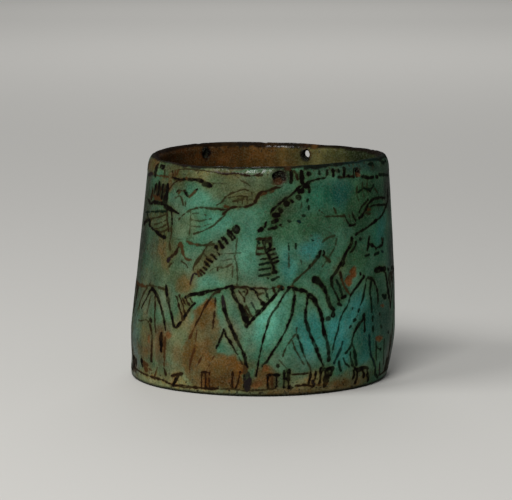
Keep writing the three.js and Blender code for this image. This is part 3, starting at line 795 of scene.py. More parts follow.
hoveringPair = [
    # the upper leaf shape
    ("thin", 1.2, (-14, 48.8), (-12.8, 49.5), (-12, 50.4), (-11, 51.3), (-9.8, 52), (-8.5, 52.4),
     (-7.5, 52.7), (-6.5, 53), (-5.3, 52.7)),
    ("brown", 0.8, (-14, 47.8), (-12, 47.7), (-10.8, 47.9), (-9.3, 48.4), (-7.5, 48.5), (-5.8, 48.6),
     (-4.5, 49), (-3.5, 49.7), (-3, 50.5)),
    ("thin", 0.9, (-11, 50.7), (-8, 51.3), (-5.5, 51.1)),
    ("thin", 0.9, (-9.5, 49.9), (-7, 50.4), (-4.4, 50.3)),
    ("thin", 0.8, (-8, 50.8), (-8.2, 49.2)),
    ("thin", 0.8, (-6.8, 50.9), (-6.9, 49.2)),
    ("thin", 0.8, (-5.6, 50.9), (-5.5, 49.3)),
    ("thin", 0.8, (-4.5, 52.4), (-4.3, 50.9)),
    ("russet", 1, (-1.9, 51.4), (-1.3, 52.1)),
    ("russet", 0.9, (-1, 51.8), (0.4, 52.1), (1.4, 52.6)),
    ("russet", 1.3, (-11.7, 48.5), (-10.8, 48.3)),
    ("brown", 0.8, (-12, 46.5), (-10.9, 47.6), (-9.8, 48.3)),
    # the lower leaf shape
    ("thin", 1.3, (-26, 44.4), (-25, 45.2), (-24, 46), (-22.8, 46.8), (-21, 47.5), (-19, 47.9),
     (-17, 47.9), (-15, 47.8), (-13.6, 47.8)),
    ("thin", 1, (-20.4, 41), (-18, 41.8), (-16.5, 42.5), (-15, 43.3), (-13.8, 44.3), (-12.5, 45.5),
     (-11.5, 46.4)),
    ("faint", 1, (-21.5, 46.2), (-19, 46.4), (-17, 46.1)),
    ("faint", 1, (-21.7, 44.6), (-18.6, 44.5), (-15.4, 45.3)),
    ("faint", 1, (-21.8, 43), (-18.6, 43), (-15, 44)),
    ("faint", 1.2, (-22, 46.4), (-21.8, 43.4), (-22, 40.6)),
    ("faint", 1.2, (-27, 39.1), (-24, 39.4), (-21.6, 39.9)),
]

marshStem = [
    ("violet", 0.9, (-28.9, 33.4), (-28.3, 33.9)),
    ("brown", (1.2, 1.5, 1.2), (-28, 34.3), (-27, 34.9), (-26.2, 35.5), (-25.7, 36.5), (-25.2, 37.4)),
    ("russet", 1.5, (-25.2, 37.6), (-24.7, 38), (-24.3, 37.5)),
    ("russet", 1.1, (-24.3, 37.4), (-23.9, 36.5), (-23.6, 35.7), (-23, 34.8), (-22, 34.3), (-20.6, 34.3)),
    ("thin", 1.3, (-26.6, 33), (-27.6, 32.6), (-28.3, 31.8)),
    ("thin", 1.2, (-24, 33.6), (-22.4, 33), (-21.6, 32.2)),
    ("russet", 0.9, (-22.6, 38.8), (-21, 38.5), (-19, 38.3)),
]

frond = [
    ("thin", 1.4, (-19, 38.3), (-17.4, 38.3), (-15.6, 38.6), (-14.4, 38.8)),
    ("thin", (1, 1.5, 1.7, 1.1), (-14.8, 39.5), (-16.1, 38.3), (-17.2, 36.4), (-18, 35.2), (-19.7, 32.8),
     (-19.9, 31.8)),
    ("violet", (0.35, 0.5, 0.55, 0.4), (-18.7, 30.8), (-19.6, 30.9), (-20.1, 29.6), (-20.4, 28.1)),
    ("heavy", 0.72, (-8.9, 43.1), (-8.5, 43.5), (-7.9, 43.4), (-7.6, 42.8), (-7.8, 42.2), (-8.3, 42),
     (-8.9, 42.3), (-9, 42.8), (-8.9, 43.1)),
    ("violet", 0.9, (-8.4, 42.8), (-8.2, 42.7)),
    ("heavy", 0.75, (-10.4, 41.6), (-9.2, 40.1)),
    ("heavy", 0.75, (-9.7, 42), (-8.6, 40.6)),
    ("line", 0.9, (-10.4, 42.4), (-10.2, 42.1)),
    ("heavy", (0.8, 1), (-11.6, 40.7), (-10.5, 39.2)),
    ("line", 0.9, (-12.1, 40.5), (-11.7, 40.1)),
    ("heavy", (0.75, 0.95), (-12.8, 39.6), (-11.8, 38.1)),
    ("heavy", 0.65, (-13.6, 38.1), (-13, 37.3)),
    ("heavy", 0.6, (-13.1, 36.7), (-12.5, 36.1)),
    ("line", (0.8, 0.9, 1), (-14.8, 36.1), (-14.1, 35.6), (-13.4, 34.9)),
    ("line", 1, (-15.8, 35), (-14.4, 34.1)),
    ("line", 1, (-16.5, 34.1), (-15.2, 33.1)),
    ("line", 1, (-17.3, 32.8), (-16.1, 32.2)),
    ("brown", 0.9, (-18.1, 31.4), (-17.2, 30.6)),
    ("brown", 0.9, (-17.5, 31.8), (-16.4, 31.2)),
    ("russet", 0.9, (-18.6, 31.6), (-18, 30.4)),
    ("faint", 1.3, (-16.8, 36.2), (-15.9, 35.2), (-15, 34.9)),
    # its thin stalk
    ("faint", 1.3, (-7.9, 40.5), (-8, 38.7), (-8.2, 36.5), (-8.4, 35.7), (-7.7, 34), (-7.4, 31.4),
     (-7.4, 28.7)),
    ("faint", 1.1, (-8.8, 33.2), (-8.6, 30.5)),
    ("thin", 1.2, (-12.9, 33), (-12.8, 32.2)),
    ("faint", 1.1, (-14.8, 32), (-13.1, 33), (-11.1, 32.9), (-9, 33.9)),
    ("faint", 1, (-12, 36.3), (-9, 36.6), (-6.4, 36.9)),
    ("faint", 0.9, (-11.6, 34.6), (-9, 35.2)),
]

beadedStem = [
    # the stem that comes down from under the rim, with beads along it
    ("line", (1.2, 1, 0.9, 1, 0.7), (11.2, 54.3), (9.8, 53.9), (8.2, 53), (6.1, 51.4), (4.3, 50.2),
     (2.5, 48.9), (1, 47.5), (0.7, 46.6)),
    ("line", 0.9, (-0.4, 44.8), (-0.8, 43.4)),
    ("line", (1, 1.1), (10.8, 54.1), (11.1, 53), (11.3, 51.9)),
    ("green", 0.8, (10.7, 50), (10.6, 49.4)),
    ("green", 0.8, (10.9, 48.3), (10.9, 47.6)),
    ("heavy", 1.15, (8.4, 52.2), (9.2, 52.3)),
    ("heavy", 0.9, (9.6, 53.2), (10.3, 53.4)),
    ("heavy", 1.2, (7.9, 50.7), (8.2, 50.6)),
    ("heavy", 1.2, (6.3, 49.9), (6.6, 49.7)),
    ("heavy", 1.1, (4.8, 49.2), (5.1, 49.1)),
    ("heavy", 1.2, (3.1, 47.9), (3.5, 47.5)),
    ("heavy", 1, (1.4, 46.4), (2.8, 46.4)),
    ("heavy", 0.85, (1.4, 44.7), (2.4, 45.1)),
    ("line", 1, (0.3, 42.9), (1.9, 43.2), (2.2, 43.5)),
    ("line", 0.8, (3, 43.9), (3.5, 44)),
    ("line", 1.2, (-2.3, 42.5), (-1.7, 42.8)),
    ("green", 1.2, (9.4, 46), (9.7, 46)),
    ("blue", 1.1, (8.1, 44.7), (8.5, 44.5)),
    ("green", 1.2, (5.5, 45), (5.8, 44.8)),
    ("green", 1.3, (11.9, 39.8), (12.2, 39.6)),
    ("faint", 1.3, (9, 49.4), (8.9, 48)),
    ("thin", 0.9, (3.6, 43.6), (5, 43.2)),
    # the ladder below it
    ("brown", 1.1, (-2.7, 40.5), (-0.9, 40.4), (0.8, 40.6)),
    ("heavy", (0.9, 1.25, 1), (-1.1, 40.1), (-0.1, 40), (0.9, 39.9)),
    ("line", (1.1, 1.2, 1.3), (-0.9, 39.6), (-0.6, 38.3), (-0.1, 36.9)),
    ("line", 1.1, (0.7, 39.6), (0.8, 38.6), (0.3, 37.9)),
    ("line", (1.3, 1, 0.8, 0.9), (-0.1, 36.9), (0.7, 35.8), (1.2, 34.6), (1.8, 33.6), (2.1, 32.4)),
    ("line", 1, (0.4, 37.5), (1.9, 37.8)),
    ("line", 0.9, (0.8, 36.3), (2.2, 36.7)),
    ("line", 0.8, (1.2, 35.2), (2.7, 35.8)),
    ("line", 0.8, (1.8, 34.4), (3.1, 34.8)),
    ("line", 1.5, (1.8, 31.9), (2.4, 32.1)),
    ("green", 1.2, (-2.4, 39.6), (-2.2, 39.4)),
    ("brown", 1, (-2.3, 38), (-1.3, 38.1)),
    ("brown", 1, (-2.7, 36.6), (-0.5, 36.7)),
    ("line", 0.9, (-1.6, 35.2), (0.3, 35.5)),
    ("green", 0.9, (-1.8, 33.9), (0.4, 34.4)),
    ("green", 0.9, (-1.8, 32.6), (1, 33)),
    ("green", 0.9, (-1.9, 31.1), (0.9, 31.5)),
    ("line", 1, (0.3, 30.6), (0.5, 30.5)),
    ("green", 0.9, (1.7, 30), (3.2, 30.7)),
    ("thin", 0.8, (-2.6, 39.4), (-2.8, 36.8)),
    ("green", 0.7, (5.6, 39.2), (5.7, 37.5)),
    ("green", 0.7, (7.5, 39.1), (7.5, 37.8)),
    ("faint", 1.2, (5.7, 36.9), (5.7, 33)),
    ("faint", 1.2, (8.9, 34.9), (9, 33.8)),
]

budStem = [
    ("thin", 1.5, (6.5, 28.1), (7.1, 29.3), (8, 30.2), (9.4, 31.5), (11, 32.8), (12.5, 34.3),
     (13.8, 35.8)),
    ("line", 1, (11.2, 33), (11.5, 33.3)),
    ("line", 1, (13.5, 35.5), (14.1, 35.9), (14, 36.6), (14.5, 37)),
    ("line", 1, (15.2, 37), (15.4, 36.4), (15, 35.8)),
    ("thin", 1.5, (15.2, 35.8), (16.2, 35), (17, 34.2)),
    ("faint", 1.4, (14.6, 39), (15.6, 39.8), (17, 40.3), (18.6, 40.5)),
    ("faint", 1.3, (14.8, 33), (16.8, 35.4), (18.4, 37.6), (19.2, 40)),
    ("thin", 1.1, (14, 47.2), (15, 46.5), (15.8, 46)),
    ("thin", 1.1, (18.4, 47.6), (19, 46.2)),
    ("thin", (0.9, 1.2, 1.6), (15.7, 45.5), (18.7, 45.4), (21.8, 45.2)),
]

rightBird = [
    # its beak
    ("line", (0.9, 0.8), (22, 45.2), (22.7, 43.8), (23.4, 43)),
    ("line", 0.85, (23.4, 42.8), (24.6, 42.6), (25.6, 42.8)),
    ("line", (0.7, 0.9), (24.4, 46.2), (25, 44.9), (25.7, 43.8)),
    ("faint", 1.3, (23.4, 45.4), (23.9, 43.8)),
    # its wing
    ("line", (0.8, 1.1, 0.9), (27.4, 45.8), (28.1, 46.9), (29.4, 47.6), (30.5, 48.1), (31.2, 48.6)),
    ("line", (1.1, 0.9, 0.8, 1), (27.8, 44.5), (28.8, 45.1), (30.4, 46.5), (31.4, 47.5), (32.8, 48.2),
     (34.6, 48.5), (38, 48.4), (41.6, 48)),
    ("line", 0.9, (27.1, 44.3), (28.1, 44.4)),
    ("line", (0.8, 1, 0.8), (32.4, 46.8), (34.6, 46.9), (38, 46.6), (41.3, 46.2)),
    ("russet", 1.2, (31.2, 46.1), (32.2, 45.9)),
    ("thin", 1.1, (29.8, 45.4), (31, 45), (32.2, 45)),
    # its belly and legs
    ("line", (0.8, 0.9, 1, 1.2, 1.3), (25.5, 40.1), (26.5, 40.6), (29.4, 41.3), (32.2, 42.2), (36.4, 43.2),
     (39.1, 44.1), (41.9, 45.8), (44.1, 46.9), (44.6, 48.2), (44.8, 49.6)),
    ("heavy", (0.75, 0.85, 0.75, 0.65), (24.2, 39.3), (23.9, 38), (22.5, 36.5), (21.5, 35.1), (20.6, 33.7),
     (19.3, 31.8), (18.6, 31), (17.6, 30)),
    ("line", (1, 0.8, 0.5), (25.7, 38.3), (25, 36.9), (23.6, 36)),
    ("line", 1, (21.3, 33.6), (21, 32.8)),
    ("brown", 1.3, (20.2, 31), (20.5, 29.8)),
    # the marks under its tail
    ("line", (1.1, 1), (31.1, 39.3), (30.7, 37.6), (30.1, 35.9)),
    ("heavy", (0.7, 0.9, 0.7), (30.8, 37.4), (32.2, 36.9), (33.3, 36.5), (34.1, 35.8)),
    ("heavy", (0.6, 0.8, 0.9), (34.6, 36), (36, 36.1), (37.7, 36.5), (38.9, 37.8)),
    ("brown", 1.2, (38.4, 37.2), (37.6, 37.9)),
    ("green", 1.1, (29.4, 34.5), (30.8, 34.6)),
    ("green", 1.2, (33.4, 34.4), (35.6, 34.6)),
    ("blue", 1.3, (37, 34.9), (38.4, 34.5)),
    ("green", 1.3, (27.3, 39), (27.7, 38.9)),
    ("green", 0.9, (27.3, 50.8), (29.5, 51.5), (32.1, 50.9), (34, 51.5), (34.4, 52)),
    ("line", 1.2, (32.1, 50.8), (32.5, 50.6)),
    ("thin", 1.1, (27, 52.6), (26.6, 50.4), (27.4, 48.4)),
    ("thin", 1.1, (29.2, 53), (29, 51.2), (29.6, 49.4)),
    ("thin", 1.1, (31.4, 53.2), (31, 51.8), (31.6, 49.8)),
    ("thin", 1.1, (35, 51), (36.4, 49.9)),
]


def moved(strokes, shift, rise=0.0, mirrorAbout=None):
    # the same strokes elsewhere on the wall, turned left for right where mirrorAbout is given
    def place(a, z):
        turned = a if mirrorAbout is None else 2 * mirrorAbout - a
        return (turned + shift, z + rise)
    return [(brush, width, *(place(a, z) for a, z in points)) for brush, width, *points in strokes]


petal = {"foot": 7, "rib": (8, 10), "blot": (6.8, 4.6, 2.5)}


def lotusPetal(centre, apex, spread, dice):
    # one petal of the frieze: its two curved sides, the small petal in it and its foot blot
    jig = lambda size: dice.uniform(-size, size)
    fall = apex - petal["foot"]
    left = [(centre - spread * s + jig(0.2), apex - fall * t) for s, t in
            ((0.05, 0), (0.28, 0.1), (0.55, 0.27), (0.78, 0.48), (0.95, 0.72), (1.05, 0.95))]
    right = [(centre + spread * s + jig(0.2), apex - fall * t) for s, t in
             ((0.05, 0), (0.3, 0.12), (0.5, 0.3), (0.72, 0.52), (0.93, 0.78), (1.0, 1.0))]
    small = apex - dice.uniform(*petal["rib"])
    rib = centre + jig(1)
    return [
        ("line", (1.1, 0.9), *left),
        ("heavy", (1, 0.9, 0.7), *right),
        ("brown", 0.8, (centre - 0.4, apex - 2), (rib - 1, apex - 6), (rib - 1.6, apex - 10)),
        ("line", 0.8, (rib, small), (rib - 1.4, small - 3), (rib - 2.6, small - 6 + jig(0.6))),
        ("line", 0.8, (rib + 0.1, small), (rib + 1.3, small - 3), (rib + 2.9, small - 6.6)),
        ("thin", 1.1, (rib + 2.9, small - 6.8), (rib + 3.6, small - 8.6), (rib + 4, 6.4)),
        ("heavy", 1.5, *((centre + spread * s, z) for s, z in zip((1.02, 1.06, 1), petal["blot"]))),
    ]


def hatchedWedge(left, right, top, tip, dice, hatches=5):
    # the hanging triangle between two petals, heavy on its left side and hatched inside
    low = (mixed(left, right, 0.42), tip)
    down = (mixed(left, low[0], 0.4), mixed(top, tip, 0.42))
    up = (mixed(low[0], right, 0.5), mixed(tip, top, 0.46))
    strokes = [
        ("heavy", (1, 1.2, 0.9), (left, top), down, low),
        ("heavy", (0.8, 0.7), low, up, (right, top)),
    ]
    for k in range(hatches):
        share = (k + 0.6) / (hatches + 0.4)
        start = mixed(left + 1, right - 0.4, share)
        reach = (1 - share) * (top - tip) * 0.62
        slope = dice.uniform(0.35, 0.55)
        width = dice.uniform(0.75, 1.1)
        half = (start + slope * reach * 0.5, top - reach * 0.5)
        end = (start + slope * reach, top - reach)
        strokes.append(("brown", width, (start, top - 0.4), half, end))
    return strokes


frieze = {"first": 52.0, "last": roundWall - 54.0, "petals": 6, "apex": 27.6, "drop": 1.6}


def friezeBehind():
    # petals and wedges for the side away from the photo, at the spacing of those in front
    dice = np.random.default_rng(7)
    f = frieze
    gap = (f["last"] - f["first"]) / (f["petals"] - 1)
    strokes = []
    for k in range(f["petals"]):
        centre = f["first"] + gap * k
        apex = f["apex"] - f["drop"] * k / (f["petals"] - 1) + dice.uniform(-0.6, 0.6)
        strokes += lotusPetal(centre, apex, dice.uniform(6.2, 7.2), dice)
        if k < f["petals"] - 1:
            middle = centre + gap / 2
            tip = apex - dice.uniform(8.5, 10)
            strokes += hatchedWedge(middle - 4.6, middle + 4.4, apex + 0.3, tip, dice)
    strokes += hatchedWedge(39.6, 47.6, 28.6, 19.6, dice)
    strokes += hatchedWedge(roundWall - 50.6, roundWall - 44.2, 25.6, 17.4, dice)
    return strokes


bands = {
    "register": 28.4,
    "slope": 3 / 120,
    "edge": 2.0,
    "underRim": 54.5,
    "barGap": 9.6,
    "rimBarGap": 7.5,
}


def bandsBehind():
    # the register line, base band and rim band for the side away from the photo
    dice = np.random.default_rng(12)
    strokes = []

    def unevenRow(start, end, step, height, sway):
        return [(a, height(a) + dice.uniform(-sway, sway)) for a in np.arange(start, end, step)]

    register = unevenRow(48, 168, 6, lambda a: bands["register"] - bands["slope"] * (a - 47), 0.3)
    for k in range(0, len(register) - 2, 2):
        brush = ("heavy", "brown", "line")[k // 2 % 3]
        strokes.append((brush, dice.uniform(0.7, 1), *register[k:k + 3]))
    for a in np.arange(43, 168, bands["barGap"]):
        bars = int(dice.integers(2, 5))
        brush = ("line", "brown", "russet")[int(dice.integers(3))]
        for bar in range(bars):
            at = a + bar * dice.uniform(1, 1.3)
            width = dice.uniform(0.9, 1.3)
            top = (at + dice.uniform(-0.2, 0.2), 5.6)
            strokes.append((brush, width, top, (at, 3.8), (at - 0.1, 2.2)))
    strokes.append(("brown", 0.7, *unevenRow(40, 170, 5, lambda a: bands["edge"], 0.25)))
    strokes.append(("brown", 0.8, *unevenRow(48, 168, 5, lambda a: bands["underRim"], 0.25)))
    for a in np.arange(50, 166, bands["rimBarGap"]):
        for bar in range(int(dice.integers(2, 4))):
            at = a + bar * 1.7
            width = dice.uniform(0.9, 1.5)
            strokes.append(("line", width, (at, 57), (at + dice.uniform(-0.2, 0.2), 55.4)))
    return strokes


def marshBehind():
    # the marsh scene goes on round the back with the same birds, fronds and stems
    return (
        moved(rightBird, 36, 1, mirrorAbout=30)
        + moved(frond, 95, 1)
        + moved(hoveringPair, 106, -3, mirrorAbout=-10)
        + moved(beadedStem, 92, 0, mirrorAbout=4)
        + moved(marshStem, 128, 2)
        + moved(leftBird, 172, -1)
        + moved(frond, 142, -1, mirrorAbout=-14)
    )


def between(strokes, first, last):
    # the strokes that start on that part of the way round
    return [stroke for stroke in strokes if first <= stroke[2][0] % roundWall < last]


groups = {
    "petal_brushwork": petalsInFront,
    "wedge_brushwork": wedgesInFront + registerInFront,
    "band_brushwork": baseBandInFront + rimBandInFront,
    "marsh_brushwork": leftBird + hoveringPair + marshStem + frond + beadedStem + budStem + rightBird,
    "right_back_petals": between(friezeBehind(), 0, roundWall / 2),
    "left_back_petals": between(friezeBehind(), roundWall / 2, roundWall),
    "right_back_marsh": between(marshBehind(), 0, roundWall / 2),
    "left_back_marsh": between(marshBehind(), roundWall / 2, roundWall),
    "back_bands": bandsBehind(),
}


# The brushwork is first drawn into one fine map of the wall: how far inside a stroke each place is,
# how strong the stroke is there, its colour, and the group that it belongs to.

paintMap = {"step": 0.12, "top": 58.3, "stretch": 12}
hand = {"sway": 0.07, "dryness": 0.25, "around": 0.5}
mapAcross = round(roundWall / paintMap["step"])
mapUp = int(paintMap["top"] / paintMap["step"])
mapA = (np.arange(mapAcross) / mapAcross - 0.5) * roundWall
mapZ = np.arange(mapUp) * paintMap["step"]
inside = np.full((mapAcross, mapUp), -9.0)
strength = np.zeros((mapAcross, mapUp))
ink = np.zeros((mapAcross, mapUp, 3))
owner = np.zeros((mapAcross, mapUp), int)


def smoothPath(points, step=0.1):
    # a Catmull-Rom curve through the points, at even parameter steps, with its running length
    p = np.array(points, float)
    if len(p) == 2:
        p = np.stack([p[0], (p[0] + p[1]) / 2, p[1]])
    ends = np.concatenate([[2 * p[0] - p[1]], p, [2 * p[-1] - p[-2]]])
    pieces = []
    for k in range(len(p) - 1):
        p0, p1, p2, p3 = ends[k:k + 4]
        n = max(2, int(np.hypot(*(p2 - p1)) / step))
        t = (np.arange(n) / n)[:, None]
        pieces.append(0.5 * (2 * p1 + (p2 - p0) * t + (2 * p0 - 5 * p1 + 4 * p2 - p3) * t ** 2
                             + (3 * p1 - p0 - 3 * p2 + p3) * t ** 3))
    path = np.concatenate(pieces + [p[-1:]])
    run = np.concatenate([[0], np.cumsum(np.hypot(*np.diff(path, axis=0).T))])
    return path, run


def unevenLine(run, cell, dice):
    # random values along a stroke, eased between points a cell apart, from -1 to 1
    knots = dice.uniform(-1, 1, int(run[-1] / cell) + 3)
    return np.interp(run / cell, np.arange(len(knots)), knots)


def drawStroke(brush, widthShare, points, group, dice):
    # each place in the map keeps the stroke that it lies deepest in
    kind = brushes[brush]
    path, run = smoothPath(points)
    shares = np.atleast_1d(widthShare)
    along = run / max(run[-1], 1e-6)
    half = kind["width"] / 2 * np.interp(along, np.linspace(0, 1, len(shares)), shares)
    half = half * (1 + kind["bead"] * (unevenLine(run, 0.75, dice) + 0.5 * unevenLine(run, 2.1, dice)))
    path = path + hand["sway"] * np.stack([unevenLine(run, 1.6, dice), unevenLine(run, 1.6, dice)], 1)
    load = kind["strength"] * (1 - hand["dryness"] * np.clip(unevenLine(run, 1.1, dice), 0, 1))
    step, stretch = paintMap["step"], paintMap["stretch"]
    for k in range(0, len(path), stretch):
        part = slice(k, min(k + stretch + 1, len(path)))
        reach = half[part].max() + hand["around"]
        low, high = path[part].min(0) - reach, path[part].max(0) + reach
        firstColumn = int(np.floor((low[0] + roundWall / 2) / step))
        cols = np.arange(firstColumn, int((high[0] + roundWall / 2) / step) + 2)
        rows = np.arange(max(0, int(low[1] / step)), min(mapUp, int(high[1] / step) + 2))
        if not len(rows):
            continue
        gridA = cols[:, None] * step - roundWall / 2
        gridZ = rows[None, :] * step
        far = np.hypot(gridA[..., None] - path[part, 0], gridZ[..., None] - path[part, 1])
        deep = half[part] - far
        best = deep.argmax(-1)
        deepest = np.take_along_axis(deep, best[..., None], -1)[..., 0]
        here = np.ix_(cols % mapAcross, rows)
        wins = deepest > inside[here]
        inside[here] = np.where(wins, deepest, inside[here])
        strength[here] = np.where(wins, load[part][best], strength[here])
        ink[here] = np.where(wins[..., None], inks[kind["ink"]], ink[here])
        owner[here] = np.where(wins, group, owner[here])


strokeDice = np.random.default_rng(3)
for number, strokes in enumerate(groups.values()):
    for brush, width, *points in strokes:
        drawStroke(brush, width, points, number, strokeDice)
print("brush strokes drawn:", sum(len(s) for s in groups.values()))

fineA, fineZ = np.meshgrid(mapA, mapZ, indexing="ij")
bite = 0.1 * ringNoise(fineA, fineZ, 0.38, 61) + 0.09 * ringNoise(fineA, fineZ, 0.9, 62)
paint = smoothStep(-0.08, 0.07, inside + bite) * strength
paint *= 1 - 0.4 * smoothStep(0.35, 0.75, cloud(fineA, fineZ, 0.75, 63))
paint *= 1 - glazeLoss(fineA, fineZ)[0] * 0.92
for bearing, flare in zip(lashingHoles["bearings"], lashingHoles["flare"]):
    away = np.hypot(wrapped(fineA - bearing * refRadius), fineZ - holeHeight)
    paint *= smoothStep(flare, 1.12 * flare, away)  # no paint across a lashing hole


def blurred(values, times, width):
    # repeated box blur by running sums, closed round the wall
    out = values
    for _ in range(times):
        ring = np.concatenate([out[-width - 1:], out, out[:width]])
        sums = np.cumsum(ring, 0)
        out = (sums[2 * width + 1:] - sums[:-2 * width - 1]) / (2 * width + 1)
        tall = np.pad(out, ((0, 0), (width + 1, width)), mode="edge")
        sums = np.cumsum(tall, 1)
        out = (sums[:, 2 * width + 1:] - sums[:, :-2 * width - 1]) / (2 * width + 1)
    return out


fringe = blurred(paint, 2, 2)
bleed = blurred(paint, 2, 9)


def mapAt(values, a, z):
    # a layer of the paint map at places on the wall
    v = np.clip(z / paintMap["step"], 0, mapUp - 1.001)
    return sampled(values, (a + roundWall / 2) / roundWall * mapAcross, v)


# Meshes

def newPiece(name, points, faces, material, layers=None, sharp=math.radians(50)):
    # points in mm, faces as rows of 3 or 4 corners
    mesh = bpy.data.meshes.new(name)
    loops = np.concatenate([f.ravel() for f in faces])
    sizes = np.concatenate([np.full(len(f), f.shape[1]) for f in faces])
    mesh.vertices.add(len(points))
    mesh.vertices.foreach_set("co", (points * mm).astype(np.float32).ravel())
    mesh.loops.add(len(loops))
    mesh.loops.foreach_set("vertex_index", loops.astype(np.int32))
    mesh.polygons.add(len(sizes))
    starts = np.concatenate([[0], np.cumsum(sizes)[:-1]])
    mesh.polygons.foreach_set("loop_start", starts.astype(np.int32))
    mesh.update(calc_edges=True)
    mesh.validate()
    mesh.polygons.foreach_set("use_smooth", np.ones(len(sizes), bool))
    mesh.set_sharp_from_angle(angle=sharp)
    for layer, values in (layers or {}).items():
        if values.ndim == 2:
            colour = np.concatenate([values, np.ones((len(values), 1))], 1)
            mesh.color_attributes.new(layer, "FLOAT_COLOR", "POINT").data.foreach_set(
                "color", colour.astype(np.float32).ravel())
        else:
            mesh.attributes.new(layer, "FLOAT", "POINT").data.foreach_set(
                "value", values.astype(np.float32))
    mesh.materials.append(material)
    obj = bpy.data.objects.new(name, mesh)
    bpy.context.scene.collection.objects.link(obj)
    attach(obj, "root")
    return obj


wallGrid = {
    "columns": 420,
    "holeCells": 5,
    "outerStep": 0.42,
    "rimRows": 15,
    "lipRows": 8,
    "innerFineTo": 52.8,
    "innerStep": 1.15,
    "coveRows": 7,
}


def wallSection():
    # the section as rows (radius, height, side): side 0 is the foot, 1 outside, 2 inside, 3 the rebate
    v, g = vessel, wallGrid
    turn = np.linspace(0, math.pi / 2, 5)[:-1]
    flat = v["footRadius"] - v["footWear"]
    side = outerRadius(np.array(v["footWear"]))
    foot = np.stack([flat + (side - flat) * np.sin(turn), v["footWear"] * (1 - np.cos(turn))], 1)
    rows = [(r, 0.0, 0) for r in np.linspace(v["rebateRadius"], flat, 3)[:-1]]
    rows += [(r, z, 0) for r, z in foot]
    up = np.linspace(v["footWear"], shoulder, round((shoulder - v["footWear"]) / g["outerStep"]) + 1)
    rows += [(r, z, 1) for r, z in zip(outerRadius(up), up)]
    turn = np.linspace(0, math.pi / 2, g["rimRows"])[1:]
    rim = shoulder + v["rimDrop"] * np.sin(turn)
    rows += [(crestRadius + v["crestInset"] * math.cos(t), z, 1) for t, z in zip(turn, rim)]
    turn = np.linspace(math.pi / 2, 0, g["lipRows"])[1:]
    lip = v["height"] - v["lipDrop"] * (1 - np.sin(turn))
    near = np.arange(v["height"] - v["lipDrop"] - g["outerStep"], g["innerFineTo"], -g["outerStep"])
    coveTop = v["ledgeHeight"] + v["coveHeight"]
    far = np.linspace(near[-1], coveTop, round((near[-1] - coveTop) / g["innerStep"]) + 1)[1:]
    cove = np.linspace(coveTop, v["ledgeHeight"], g["coveRows"])[1:]
    down = np.concatenate([lip, near, far, cove])
    rows += [(r, z, 2) for r, z in zip(innerRadius(down), down)]
    middle = (v["ledgeRadius"] + v["rebateRadius"]) / 2
    rows += [(middle, v["ledgeHeight"], 3), (v["rebateRadius"], v["ledgeHeight"], 3)]
    rows += [(v["rebateRadius"], v["ledgeHeight"] * s, 3) for s in (0.66, 0.33)]
    return np.array(rows, float)


section = wallSection()
outerRows = np.nonzero(section[:, 2] == 1)[0]
columnA = np.arange(wallGrid["columns"]) / wallGrid["columns"] * roundWall - roundWall / 2
gridA, sectionRow = np.meshgrid(columnA, np.arange(len(section)), indexing="ij")
gridR, gridZ, gridSide = section[sectionRow, 0], section[sectionRow, 1], section[sectionRow, 2]
gridBearing = gridA / refRadius

# outward direction of the section at each row, square to the line between its neighbours
along = np.roll(section[:, :2], -1, 0) - np.roll(section[:, :2], 1, 0)
outward = np.stack([along[:, 1], -along[:, 0]], 1) / np.hypot(*along.T)[:, None]
rimWear = {"crest": 0.16, "depth": 0.35}


def wallPush():
    # how far each grid point stands out from the plain form, in mm
    lossDepth = glazeLoss(gridA, gridZ)[1]
    outer = unevenness(gridA, gridZ) - lossDepth
    inner = 0.16 * cloud(gridA, gridZ, 16, 71, 2) + 0.06 * cloud(gridA, gridZ, 4, 72)
    nicks = rimWear["depth"] * smoothStep(0.28, 0.8, cloud(gridA, gridZ * 0.3, 3.6, 73))
    wear = smoothStep(vessel["height"] - 1.6, vessel["height"], gridZ)
    worn = wear * (rimWear["crest"] * cloud(gridA, gridZ * 0, 11, 74) - nicks)
    fade = smoothStep(0, 3, gridZ)
    push = np.where(gridSide == 1, outer * fade, np.where(gridSide == 2, inner * (1 - wear), 0))
    return push + np.where((gridSide == 1) | (gridSide == 2), worn, 0)


push = wallPush()
spread = spreadAt(gridBearing, gridR, gridZ) * (gridSide < 2)
pushed = placed(gridBearing, gridR + spread + outward[sectionRow, 0] * push,
                gridZ + outward[sectionRow, 1] * push)
print("wall grid:", pushed.shape)


def holeSleeve(number):
    # the blocks of cells that a hole takes out of both faces of the wall, and their edges
    bearing = lashingHoles["bearings"][number]
    middle = wrapped(bearing * refRadius)
    column = int(round((middle + roundWall / 2) / roundWall * wallGrid["columns"]))
    cells = wallGrid["holeCells"]
    outerMid = outerRows[np.argmin(abs(section[outerRows, 1] - holeHeight))]
    innerRows = np.nonzero((section[:, 2] == 2) & (section[:, 1] < vessel["height"] - 0.3))[0]
    innerMid = innerRows[np.argmin(abs(section[innerRows, 1] - holeHeight))]
    columns = (column + np.arange(-cells, cells + 1)) % wallGrid["columns"]
    outerBlock = outerMid + np.arange(-cells, cells + 1)
    innerBlock = innerMid - np.arange(-cells, cells + 1)

    def rim(rows):
        # the block's edge as column and row pairs, anticlockwise seen from outside
        low = [(c, rows[0]) for c in columns[:-1]]
        right = [(columns[-1], r) for r in rows[:-1]]
        high = [(c, rows[-1]) for c in columns[:0:-1]]
        left = [(columns[0], r) for r in rows[:0:-1]]
        return np.array(low + right + high + left)

    return columns, outerBlock, innerBlock, rim(outerBlock), rim(innerBlock), middle


def outerPlace(a, z):
    # column and row of a place on the outside of the wall
    column = (a + roundWall / 2) / roundWall * wallGrid["columns"]
    return column, np.interp(z, section[outerRows, 1], outerRows)


